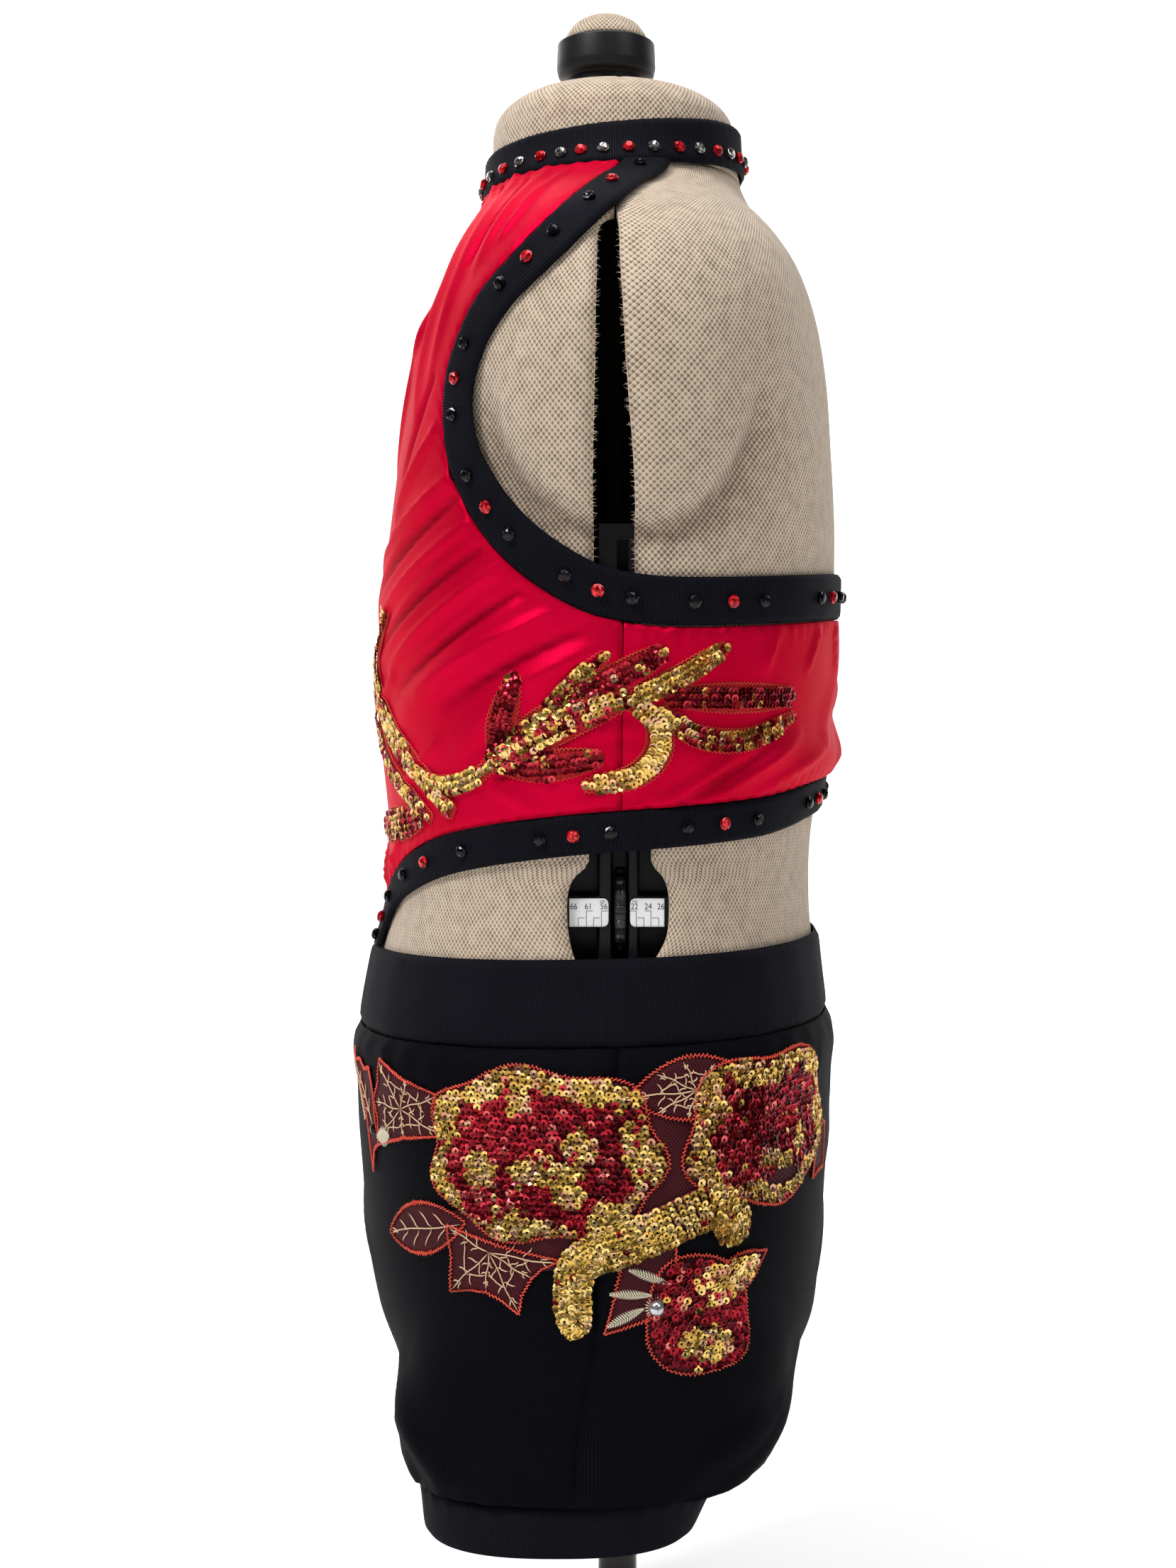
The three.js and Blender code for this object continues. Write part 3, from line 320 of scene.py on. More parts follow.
def shorts_normal(side, turn, z):
    def near(low, high):
        surface = lambda t, h: shorts_at(side, t / 90, np.clip(h, low, high))
        return normal_of(surface, 90 * turn, np.clip(z, low + 0.5, high - 0.5))

    share = np.clip((z - CROTCH_Z + 1.5) / 3, 0, 1)[..., None]
    return side * unit(near(CUFF_LOW, CROTCH_Z) * (1 - share) + near(CROTCH_Z + 1.5, 305) * share)


def shorts_out(side, turn, z, out):
    turn, z = np.broadcast_arrays(np.asarray(turn, float), np.asarray(z, float))
    off = (np.asarray(out, float) + shorts_swell(turn, z))[..., None]
    point = shorts_at(side, turn, z) + shorts_normal(side, turn, z) * off
    limit = CROTCH_X * crotch_share(z) + side * 0.02
    point[..., 0] = np.where(side * (point[..., 0] - limit) < 0, limit, point[..., 0])
    return point


# %% [markdown]
# ## From points to meshes
# A grid of points with a second grid behind it makes a wall: two skins joined round their rims.
# Each vertex also gets its place on the flat cut, in metres, as its UV, so that weaves and ribs
# follow the cloth however it bends.

# %% Mesh helpers
def new_mesh(name, points, faces, uv=None, smooth=True, turn=0.0, **attributes):
    """Vertices, faces, corner UVs and point attributes of a new object. Turn is a ring's length."""
    mesh = bpy.data.meshes.new(name)
    faces = np.asarray(faces, np.int32)
    mesh.vertices.add(len(points))
    placed = (np.asarray(points, float) + (0, 0, DATUM_RISE)) / 1000
    mesh.vertices.foreach_set("co", placed.ravel().astype(np.float32))
    mesh.loops.add(faces.size)
    mesh.loops.foreach_set("vertex_index", faces.ravel())
    mesh.polygons.add(len(faces))
    mesh.polygons.foreach_set("loop_start", np.arange(len(faces), dtype=np.int32) * faces.shape[1])
    mesh.polygons.foreach_set("use_smooth", np.full(len(faces), smooth))
    if uv is not None:
        corner = np.asarray(uv)[faces]
        seam = (np.ptp(corner[..., 0], axis=1) > turn / 2)[:, None] & (corner[..., 0] < turn / 2)
        corner[..., 0] += np.where(seam, turn, 0)
        layer = mesh.uv_layers.new(name="cut")
        layer.data.foreach_set("uv", (corner / 1000).ravel().astype(np.float32))
    for key, values in attributes.items():
        mesh.attributes.new(key, "FLOAT", "POINT").data.foreach_set("value", values.astype(np.float32))
    mesh.update(calc_edges=True)
    obj = bpy.data.objects.new(name, mesh)
    bpy.context.scene.collection.objects.link(obj)
    return obj


def grid_faces(columns, rows, ring=False):
    i, j = np.arange(columns if ring else columns - 1), np.arange(rows - 1)
    a = (i[:, None] * rows + j).ravel()
    b = (((i + 1) % columns)[:, None] * rows + j).ravel()
    return np.stack([a, b, b + 1, a + 1], 1)


def wall_faces(columns, rows, ring=False):
    """Outer skin, inner skin turned over, and the strips that close the rims."""
    under, top, end = columns * rows, rows - 1, (columns - 1) * rows
    i, j = np.arange(columns if ring else columns - 1), np.arange(rows - 1)
    a, b = i * rows, ((i + 1) % columns) * rows
    parts = [
        grid_faces(columns, rows, ring),
        grid_faces(columns, rows, ring)[:, ::-1] + under,
        np.stack([a, a + under, b + under, b], 1),
        np.stack([a + top, b + top, b + top + under, a + top + under], 1),
    ]
    if not ring:
        parts.append(np.stack([j, j + 1, j + 1 + under, j + under], 1))
        parts.append(np.stack([end + j, end + j + under, end + j + 1 + under, end + j + 1], 1))
    return np.concatenate(parts)


def outward(points, faces):
    """A closed shell's volume is the sum of a . (b x c) over its triangles: plus if it faces out."""
    a, b, c, d = (points[faces[:, k]] for k in (0, 1, 2, -1))
    volume = (a * np.cross(b, c)).sum() + (a * np.cross(c, d)).sum() * (faces.shape[1] > 3)
    return faces if volume > 0 else faces[:, ::-1]


def flat_cut(outer, ring=False):
    """Millimetres on the cut: along the middle row, and up each column from its middle."""
    middle = outer.shape[1] // 2
    u = run_of(outer[:, middle])
    up = np.cumsum(np.linalg.norm(np.diff(outer, axis=1), axis=2), 1)
    v = np.concatenate([np.zeros((len(outer), 1)), up], 1)
    turn = u[-1] + np.linalg.norm(outer[0, middle] - outer[-1, middle]) if ring else 0.0
    return np.stack([np.broadcast_to(u[:, None], v.shape), v - v[:, [middle]]], -1), turn


def skin_area(grid, ring=False):
    """Half the cross product of each cell's diagonals, summed, in square metres."""
    grid = np.concatenate([grid, grid[:1]]) if ring else grid
    d1, d2 = grid[1:, 1:] - grid[:-1, :-1], grid[1:, :-1] - grid[:-1, 1:]
    return float(np.linalg.norm(np.cross(d1, d2), axis=2).sum() / 2e6)


def two_skins(outer, inner, ring=False):
    points = np.concatenate([outer.reshape(-1, 3), inner.reshape(-1, 3)])
    return points, outward(points, wall_faces(*outer.shape[:2], ring))


def closed_rings(rings):
    """Rings with a middle point at each end, as a grid and as the points and faces of a closed shape."""
    middle = np.stack([rings[:, 0].mean(0), rings[:, -1].mean(0)])
    ends = np.broadcast_to(middle[None], (len(rings), 2, 3))
    grid = np.concatenate([ends[:, :1], rings, ends[:, 1:]], 1)
    points = grid.reshape(-1, 3)
    return grid, points, outward(points, grid_faces(*grid.shape[:2], True))


def run_of(line):
    """Distances along a line of points, from its first one."""
    return np.concatenate([[0], np.cumsum(np.linalg.norm(np.diff(line, axis=0), axis=1))])


def wall(name, outer, inner, ring=False, **values):
    points, faces = two_skins(outer, inner, ring)
    uv, turn = flat_cut(outer, ring)
    uv = uv.reshape(-1, 2)
    both = {key: np.tile(value.ravel(), 2) for key, value in values.items()}
    obj = new_mesh(name, points, faces, np.concatenate([uv, uv]), turn=turn, **both)
    extent, area = np.ptp(uv, axis=0).round(), round(skin_area(outer, ring), 4)
    print(name, len(faces), "faces, cut", extent, "mm, one skin", area, "m2")
    return obj


# %% [markdown]
# ## Shader maths as sums
# A node's output is wrapped in a small class, so that a pattern can be written as a formula. Each
# operator adds one Math node.

# %% Values and finishes
class Value:
    """A number or colour that changes over a surface."""

    def __init__(self, finish, socket):
        self.finish, self.socket = finish, socket

    def do(self, operation, *values):
        return self.finish.node("ShaderNodeMath", {"operation": operation}, dict(enumerate(values)))

    def __add__(self, other):
        return self.do("ADD", self, other)

    def __mul__(self, other):
        return self.do("MULTIPLY", self, other)

    def __sub__(self, other):
        return self.do("SUBTRACT", self, other)

    def __rsub__(self, other):
        return self.do("SUBTRACT", other, self)

    __radd__, __rmul__ = __add__, __mul__

    def sin(self):
        return self.do("SINE", self)

    def cos(self):
        return self.do("COSINE", self)

    def least(self, other):
        return self.do("MINIMUM", self, other)

    def most(self, other):
        return self.do("MAXIMUM", self, other)

    def held(self):
        return self.most(0.0).least(1.0)


class Finish:
    """A material on one Principled shader. Its settings are constants or Values."""

    def __init__(self, name, **settings):
        self.material = bpy.data.materials.new(name)
        self.material.use_nodes = True
        self.tree = self.material.node_tree
        self.shader = self.tree.nodes["Principled BSDF"]
        self.set(**settings)

    def set(self, **settings):
        for key, value in settings.items():
            self.fill(self.shader.inputs[key.replace("_", " ")], value)
        return self

    def fill(self, socket, value):
        if isinstance(value, Value):
            self.tree.links.new(value.socket, socket)
        elif isinstance(value, tuple) and len(value) == 3 and socket.type == "RGBA":
            socket.default_value = (*value, 1)
        else:
            socket.default_value = value

    def node(self, kind, settings=None, inputs=None, output=0):
        node = self.tree.nodes.new(kind)
        for key, value in (settings or {}).items():
            if key == "stops":
                ramp = node.color_ramp.elements
                while len(ramp) < len(value):
                    ramp.new(0.5)
                for element, (place, colour) in zip(ramp, value):
                    element.position, element.color = place, (*colour, 1)
            else:
                setattr(node, key, value)
        for key, value in (inputs or {}).items():
            self.fill(node.inputs[key], value)
        return Value(self, node.outputs[output])

    def place(self):
        return self.node("ShaderNodeTexCoord", output="Object")

    def parts(self, vector, scale=1000.0):
        """A vector's three numbers, in millimetres."""
        return [self.node("ShaderNodeSeparateXYZ", inputs={0: vector}, output=k) * scale for k in range(3)]

    def cut(self):
        return self.parts(self.node("ShaderNodeUVMap", {"uv_map": "cut"}))[:2]

    def noise(self, scale, detail=2.0):
        inputs = {"Vector": self.place(), "Scale": scale, "Detail": detail, "Roughness": 0.5}
        return self.node("ShaderNodeTexNoise", inputs=inputs)

    def mixed(self, factor, a, b):
        return self.node("ShaderNodeMix", {"data_type": "RGBA"}, {0: factor, 6: a, 7: b}, output=2)

    def ramp(self, factor, *stops):
        return self.node("ShaderNodeValToRGB", {"stops": stops}, {0: factor})

    def own(self, key):
        return self.node("ShaderNodeAttribute", {"attribute_name": key}, output="Fac")

    def bumped(self, height, strength, distance):
        inputs = {"Height": height, "Strength": strength, "Distance": distance}
        return self.set(Normal=self.node("ShaderNodeBump", inputs=inputs))


def wear(obj, finish, slot, *nodes):
    """Gives a piece its finish, its body and the solids that it stands for. The slot is not used."""
    obj.data.materials.append(finish.material)
    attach(obj, "root")
    if nodes:
        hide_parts(*nodes)
    return obj


TAU = 2 * np.pi

# %% [markdown]
# ## Finishes of the cloth
# Stretch satin has a soft, broad sheen: the red turns rosy on the ridges, and in the troughs
# its colour is painted wine red, a painted shade of the creases. The knit shows only as a very fine
# grain. The bands are a fine rib whose ribs run across the band, and the shorts are a smooth jersey
# of nearly the same black.

# %% Satin, rib and jersey
satin = Finish("red stretch satin", Roughness=0.43, Metallic=0.4, Specular_IOR_Level=0.04,
               Specular_Tint=(0.9, 0.02, 0.10))
u, v = satin.cut()
grain = (u * (TAU / 0.6)).sin() + (v * (TAU / 0.75)).sin()
mottle = satin.noise(30.0, 3.0)
red = satin.ramp(mottle, (0.3, (0.56, 0.001, 0.026)), (0.7, (0.66, 0.0015, 0.038)))
# The troughs of the deeper creases are painted dark wine red: a painted shade, carried by each point's trough
# mark.
satin.set(Base_Color=satin.mixed(satin.own("trough") * 0.65, red, (0.13, 0.0005, 0.006)))
satin.bumped(grain * 0.3 + mottle * 2.0, 0.25, 0.0002)


def ribbed(name, dark, light, pitch, depth=0.5):
    """The ribs are a cosine over the cut, broken along their length into loops."""
    finish = Finish(name, Specular_IOR_Level=0.035)
    u, v = finish.cut()
    rib = (u * (TAU / pitch)).cos() * 0.5 + 0.5
    loop = (v * (TAU / (pitch * 0.8))).cos() * 0.15 + 0.85
    blotch = finish.noise(60.0, 3.0)
    # The colour follows the ribs: the crests are painted lighter and the furrows darker, a painted highlight
    # and shade of the rib relief; the blotches are random tone.
    shade = (rib * loop * (blotch * 0.8 + 0.5)).held()
    finish.set(Base_Color=finish.mixed(shade, dark, light), Roughness=0.72 - rib * 0.14)
    return finish.bumped(rib * loop + blotch * 0.4, depth, 0.0003)


band_rib = ribbed("black rib", (0.0022, 0.0023, 0.0040), (0.0120, 0.0125, 0.0190), 0.95)
waist_rib = ribbed("black waistband rib", (0.0026, 0.0027, 0.0045), (0.0110, 0.0115, 0.0175), 0.9)
jersey = ribbed("black jersey", (0.0016, 0.0017, 0.0030), (0.0040, 0.0042, 0.0070), 0.7, depth=0.2)
jersey.set(Specular_IOR_Level=0.03)

# %% [markdown]
# ## The satin top
# The front is one piece of cloth with four curved sides. The grid between them is a Coons patch:
# each point mixes the two side curves and the two end curves. The back is a plain strip.

# %% Places on the satin panels
WAIST_SHARE = 2 / 13  # share of the lower edge that lies along the waistband
SEAM_SHARE = 4 / 22  # share of the side edge that is side seam and not armhole


def front_side(w):
    bottom, corner = across(hem_edge, hem_seam, SEAM)[1], arm_edge(arm_seam)[1]
    low, high = np.minimum(w / SEAM_SHARE, 1), np.maximum((w - SEAM_SHARE) / (1 - SEAM_SHARE), 0)
    phi, z = arm_edge(mix(arm_seam, arm_start, high))
    on_seam = w < SEAM_SHARE
    return np.where(on_seam, SIDE_SEAM - SEAM_DEGREES, phi), np.where(on_seam, mix(bottom, corner, low), z)


def front_bottom(share):
    near = across(hem_edge, hem_start, SEAM)[0] * np.minimum(share / WAIST_SHARE, 1)
    t = mix(hem_start, hem_seam, np.maximum((share - WAIST_SHARE) / (1 - WAIST_SHARE), 0))
    phi, z = across(hem_edge, t, SEAM)
    straight = share < WAIST_SHARE
    return np.where(straight, near, phi), np.where(straight, waist_top(near) + SEAM, z)


def front_places(columns, rows):
    """Both mixes of opposite sides, less the mix of the corners that they share."""
    u, w = np.linspace(-1, 1, columns)[:, None], np.linspace(0, 1, rows)[None, :]
    share = np.abs(u)
    side_phi, side_z = front_side(w)
    base_phi, base_z, crown_phi, crown_z = side_phi[0, 0], side_z[0, 0], side_phi[0, -1], side_z[0, -1]
    low_phi, low_z = front_bottom(share)
    top_phi = crown_phi * share
    top_z = mix(collar_low(top_phi) - SEAM, crown_z, share**8)
    v = (side_z - base_z) / (crown_z - base_z)
    phi = mix(low_phi, top_phi, v) + share * (side_phi - mix(base_phi, crown_phi, v))
    return phi * np.sign(u), mix(low_z, top_z, v) + side_z - mix(base_z, crown_z, v)


def back_places(columns, rows):
    s, w = np.linspace(0, 1, columns)[:, None], np.linspace(0, 1, rows)[None, :]
    top, low = arm_edge(mix(arm_seam, 1, s)), hem_edge(mix(hem_seam, 1, s))
    return mix(low[0], top[0], w) + SEAM_DEGREES * (1 - s) ** 8, mix(low[1] + SEAM, top[1] - SEAM, w)


def both_sides(phi, z):
    """Adds the right side's mirror image to the left side's rows."""
    return np.concatenate([phi, 360 - phi[-2::-1]]), np.concatenate([z, z[-2::-1]])


# %% [markdown]
# ## Creases in the satin
# Besides the deep folds, which the solids have too, the satin shows narrow creases: pleats that
# hang from the collar, slanting ones that fan from the armhole and the side seam, and small puckers
# that the stitches draw up along every band.

# %% Satin panels
# degrees and height where it starts, the same where it ends, half width, height
TOP_CREASES = [
    (52, 482, 12, 452, 2.6, 1.5), (54, 474, 14, 441, 2.2, -1.3), (58, 464, 16, 430, 2.6, 1.6),
    (62, 455, 22, 420, 2.2, -1.4), (66, 447, 26, 411, 2.6, 1.6), (72, 439, 32, 404, 2.2, -1.4),
    (78, 431, 40, 401, 2.6, 1.5), (84, 424, 50, 398, 2.2, -1.2), (90, 420, 66, 401, 2.4, 1.1),
    (90, 404, 56, 372, 2.4, 1.1), (88, 394, 60, 366, 2.2, -1.0), (100, 425, 92, 404, 2.0, 0.9),
    (112, 425, 104, 408, 1.8, 0.8), (128, 427, 124, 410, 2.2, 0.8), (146, 430, 140, 410, 2.0, 0.8),
    (158, 432, 160, 412, 2.0, 0.7), (100, 362, 116, 378, 2.2, 1.1), (106, 363, 128, 384, 2.2, -0.9),
    (114, 365, 140, 390, 2.6, 1.1), (128, 367, 156, 388, 2.6, 0.9), (74, 359, 60, 372, 2.2, 0.9),
    (84, 361, 96, 372, 2.0, 0.8), (19, 606, 26, 552, 2.0, -1.2), (35, 606, 35, 548, 2.0, -1.2),
    (52, 606, 44, 560, 2.0, -1.1), (72, 604, 56, 566, 2.0, 1.1), (4, 606, 8, 552, 2.6, 1.3),
    (22, 560, 12, 492, 2.8, 1.1), (40, 520, 26, 486, 2.4, -1.1), (44, 500, 22, 470, 2.4, 1.2),
    (30, 410, 12, 392, 2.4, 1.1), (48, 384, 28, 364, 2.2, 0.9), (26, 346, 14, 328, 2.0, 1.4),
    (18, 336, 6, 318, 2.0, -1.2), (10, 326, 3, 344, 2.4, 1.3), (166, 378, 178, 396, 2.6, 0.9),
    (172, 410, 160, 396, 2.4, 0.7),
]
SATIN_THICK = 0.9
CREASE_DEPTH = 1.9  # the heights above are multiplied by this


def rim_distance(outer):
    """Each point's distance from the left, right, bottom and top rim, along the grid's own lines."""
    along = np.linalg.norm(np.diff(outer, axis=0), axis=2)
    up = np.linalg.norm(np.diff(outer, axis=1), axis=2)
    left = np.concatenate([np.zeros((1, outer.shape[1])), np.cumsum(along, 0)])
    low = np.concatenate([np.zeros((outer.shape[0], 1)), np.cumsum(up, 1)], 1)
    return left, left[-1:] - left, low, low[:, -1:] - low


def satin_panel(name, phi, z):
    """Puckers are a cosine along each rim, 6.5 to 8 mm apart, that fades over 7 mm from it."""
    base = body(phi, z)
    left, right, low, high = rim_distance(base)
    puckers = 0
    for away, run, pitch in ((left, low, 8.0), (right, low, 8.0), (low, left, 7.0), (high, left, 6.5)):
        wave = np.cos(TAU * (run / pitch + 0.35 * np.sin(run / 17)))
        puckers = puckers + 0.32 * wave * np.exp(-((away / 7) ** 2)) - 0.35 * np.exp(-((away / 1.6) ** 2))
    creases = CREASE_DEPTH * fold_height(TOP_CREASES, phi, z)
    out = satin_out(phi, z) + creases + puckers + 0.3
    # A share for each point from the depth of its crease trough: the satin's colour is painted darker there,
    # as shade.
    trough = np.clip(-creases / 2.2, 0, 1) ** 1.5
    piece = wall(name + "_satin", body_out(phi, z, out + SATIN_THICK), body_out(phi, z, out), trough=trough)
    return wear(piece, satin, "satin", name)


satin_panel("front_panel", *front_places(175, 142))
satin_panel("back_panel", *both_sides(*back_places(90, 34)))

# %% [markdown]
# ## Bands and waistband
# Each band is a strip folded over the raw edge: flat, with a round fold along its free side. It is
# cut on the straight and stretched on, so that its ribs stay at a right angle to its length.

# %% Rib strips
BAND_ROWS = 13


def folded(share):
    """Wall thickness across a band: a root of 1 - (2 s - 1)^8, so full in the middle, thin at edges."""
    return RIB * (0.3 + 0.7 * np.sqrt(1 - (2 * share - 1) ** 8))


def band_places(edge, stations, near, far, past_end, shares):
    """Rows across the band. The first ones are sheared, so that they end on the line of a seam."""
    length = mix(near, far, shares)
    first = where_changes(lambda t: past_end(*across(edge, t, length)), 0 * shares, 0 * shares + 0.5)
    run = (stations[:, None] - stations[0]) / (1 - stations[0])
    settled = np.minimum((stations[:, None] - stations[0]) / 0.25, 1)
    return across(edge, mix(mix(first, 1, run), stations[:, None], settled), length)


def rib_strip(name, phi, z, finish, ring=False):
    share = np.linspace(0, 1, phi.shape[1])[None, :]
    along = flat_cut(body(phi, z))[0][..., 0]
    waver = 0.12 * np.sin(along / 11) + 0.1 * np.sin(along / 4.3 + 2)
    edge_puckers = 0.14 * np.cos(TAU * along / 5.5) * np.abs(2 * share - 1) ** 3
    outer = body_out(phi, z, EASE + folded(share) + waver + edge_puckers)
    piece = wall(name + "_rib", outer, body_out(phi, z, EASE + 0 * along), ring)
    return wear(piece, finish, "rib", name)


shares = np.linspace(0, 1, BAND_ROWS)
arm_stations = mix(arm_start, 1, np.linspace(0, 1, 220))
under_collar = lambda phi, z: z > collar_low(phi) - SEAM
arm_places = band_places(arm_edge, arm_stations, SEAM, ARM_BAND_WIDTH, under_collar, shares)
rib_strip("arm_band", *both_sides(*arm_places), band_rib)

hem_stations = mix(hem_start, 1, np.linspace(0, 1, 180))
under_waist = lambda phi, z: z < waist_top(phi) + SEAM
hem_places = band_places(hem_edge, hem_stations, 0, -HEM_BAND_WIDTH, under_waist, shares)
rib_strip("lower_band", *both_sides(*hem_places), band_rib)


def ring_places(low, high, columns, rows):
    phi = np.arange(columns)[:, None] * 360 / columns + 0 * np.arange(rows)
    return phi, mix(low(phi), high(phi), np.linspace(0, 1, rows)[None, :])


rib_strip("collar", *ring_places(collar_low, collar_high, 280, BAND_ROWS), band_rib, True)
rib_strip("waistband", *ring_places(waist_seam, waist_top, 260, BAND_ROWS), waist_rib, True)

# %% [markdown]
# ## The shorts
# Four jersey panels meet at side seams and at a middle seam. The cloth is fullest just under the
# waistband, where it is eased in, and the cuffs gather it again. A seam sinks a little into the
# cloth, because its stitches are tighter than the knit.

# %% Jersey panels
JERSEY_THICK, JERSEY_LOW, PANEL_WIDTH = 0.9, 103.2, 190
SHORTS_CREASES = [
    (60, 112, 52, 126, 2.4, -0.7), (82, 110, 74, 124, 2.4, 0.8), (98, 110, 106, 128, 2.4, -0.8),
    (104, 110, 132, 142, 2.6, 0.9), (126, 110, 146, 128, 2.6, -0.8), (142, 112, 166, 150, 3.0, 1.1),
    (40, 112, 14, 138, 3.0, 1.1), (30, 110, 20, 120, 2.6, 0.8), (160, 112, 172, 128, 2.6, 0.9),
    (20, 268, 26, 240, 3.0, 0.6), (36, 269, 40, 246, 2.6, 0.5), (54, 269, 56, 250, 2.6, 0.5),
    (150, 271, 148, 248, 3.0, 0.6), (165, 272, 166, 240, 3.0, 0.6), (6, 200, 22, 176, 4.0, 0.9),
    (172, 196, 160, 170, 4.0, 0.9), (168, 230, 176, 206, 4.0, 0.7),
]


def jersey_panel(word, side, facing, columns, rows):
    s = np.linspace(0, 1, columns)[:, None]
    share = 1 - s if facing < 0 else s
    down = np.linspace(0, 1, rows)[None, :]
    turns_at = lambda z: mix(side_lean(z), facing * 0.9999, share)
    top = waist_seam(90 + 90 * turns_at(mix(274.0, JERSEY_LOW, down))) - SEAM
    z = mix(top, JERSEY_LOW, down)
    turn = turns_at(z)
    phi = 90 + 90 * turn
    seam_away, middle_away = share * PANEL_WIDTH, (1 - share) * PANEL_WIDTH
    sink = -0.5 * np.exp(-((seam_away / 1.5) ** 2)) - 0.5 * np.exp(-((middle_away / 1.5) ** 2))
    puckers = 0.25 * np.cos(TAU * z / 9) * np.exp(-((seam_away / 5) ** 2))
    eased = 0.4 * np.cos(turn * 62) * np.exp(-(((top - z) / 9) ** 2)) * np.minimum((top - z) / 3, 1)
    gathered = 0.35 * np.cos(turn * 95 + 1) * np.exp(-(((z - 105) / 6) ** 2))
    out = sink + puckers + eased + gathered + fold_height(SHORTS_CREASES, phi, z) + 0.3
    name = ("shorts_front_" if facing < 0 else "shorts_back_") + word
    outer = shorts_out(side, turn, z, out + JERSEY_THICK)
    piece = wall(name + "_jersey", outer, shorts_out(side, turn, z, out))
    return wear(piece, jersey, "jersey", name)


SIDES = (("left", 1), ("right", -1))
for word, side in SIDES:
    for facing in (-1, 1):
        jersey_panel(word, side, facing, 51, 78)


# %% Cuffs
def cuff_piece(word, side):
    """A ring of the leg's section, folded at its lower edge, with the wall measured inwards."""
    columns, rows = 200, 11
    turn = (2 * np.arange(columns) / columns - 1)[:, None] + np.zeros(rows)
    share = np.linspace(0, 1, rows)[None, :]
    z = mix(CUFF_LOW, LEG_SEAM - 0.1, share) + 0 * turn
    normal = side * normal_of(lambda t, h: leg_at(side, t / 90, h), 90 * turn, z)
    puckers = 0.3 * np.cos(np.pi * 30 * turn) * soft((share - 0.55) / 0.45)
    out = folded(share) - RIB + puckers - 0.1
    outer = leg_at(side, turn, z) + normal * out[..., None]
    inner = leg_at(side, turn, z) - normal * RIB
    return wear(wall("cuff_" + word + "_rib", outer, inner, True), waist_rib, "rib", "cuff_" + word)


for word, side in SIDES:
    cuff_piece(word, side)

# %% [markdown]
# ## The dress form
# The form's four shell quarters are covered in an open honeycomb knit, turned in round the gaps. The
# knit is a product of two cosines over the cut: its hills are yarn and its hollows are the holes, painted
# darker as the shade in them.

# %% Form knit
YARN, HOLE = (0.67, 0.535, 0.40), (0.18, 0.125, 0.085)


def honeycomb(name, column, row):
    """Height is a half plus half of cos(2 pi u / column) cos(pi v / row): holes in offset rows."""
    finish = Finish(name, Roughness=0.95, Sheen_Weight=0.2, Sheen_Roughness=0.6, Specular_IOR_Level=0.15)
    u, v = finish.cut()
    blotch = finish.noise(220.0, 2.0)
    lattice = (u * (TAU / column)).cos() * (v * (np.pi / row)).cos() * 0.5 + 0.5
    strand = (u * (2 * TAU / column) + v * (TAU / row)).sin() * 0.22
    height = (lattice * 1.5 + strand + blotch * 0.9 - 0.5).held()
    tint = finish.noise(9.0, 4.0) * 0.5 + 0.72
    # The knit is painted darker along the arm cap's crease, by each point's crease mark: a painted shade of
    # the crease.
    shade = (height * tint - finish.own("crease") * 0.4).held()
    between = tuple(np.mean([HOLE, YARN], 0))
    # The colour follows the knit's height: the holes get the darker hole colour, a painted shade in the
    # hollows.
    finish.set(Base_Color=finish.ramp(shade, (0.1, HOLE), (0.42, between), (0.85, YARN)))
    return finish.bumped(height, 0.6, 0.0006)


knit = honeycomb("honeycomb knit", 2.1, 1.3)
fine_knit = honeycomb("pincushion knit", 1.6, 1.2)

# %% Form quarters
FORM_INSET, SHOULDER_INSET, SHELL, NECK_LOW, NECK_TOP = 0.9, 0.9, 4.0, 617.0, 657.0
FORM_LOW = 163.0
# height, half the side gap in front of the side line, and behind it
SIDE_GAP = np.array([
    (160, 6, 6), (285, 6, 6), (294, 9, 9), (305, 15.2, 15.2), (311, 17.1, 19.0), (316, 18.0, 20.5),
    (324, 18.4, 20.9), (328.5, 18.0, 20.6), (332.6, 16.7, 19.4), (336, 13.8, 17.2), (338.4, 10.6, 14.5),
    (341, 10, 13.8), (347, 10, 13.6), (353, 8.6, 10.4), (360, 6.6, 7.2), (470, 8.4, 7), (517, 7.6, 3.7),
    (556, 7, 1.5), (570, 6.6, 1.2), (575.5, 4.6, 0.8), (578, 0.9, 0.4), (582, 0.3, 0.3), (617, 0.3, 0.3),
])


def phi_at_y(distance, z, front):
    """Where the body's surface lies this far before or behind the side line: an arc cosine."""
    depth = depth_front(z) if front else depth_back(z)
    turn = np.degrees(np.arccos((distance / depth) ** (squareness(z) / 2)))
    return turn if front else 180 - turn


def arm_cap(place):
    """A round plate, 50 mm in radius, closes each arm: a deep crease round its lower part, a low crown."""
    y, z = place[..., 1] - 3, place[..., 2] - 509
    r, low = np.hypot(y, z), soft((0.35 - z / np.maximum(np.hypot(y, z), 1e-6)) / 0.8)
    crease = -4.2 * np.exp(-(((r - 50.5) / 4.5) ** 2)) - 2.2 * np.exp(-(((r - 57) / 9) ** 2))
    return crease * low + 2.4 * soft((51 - r) / 22)


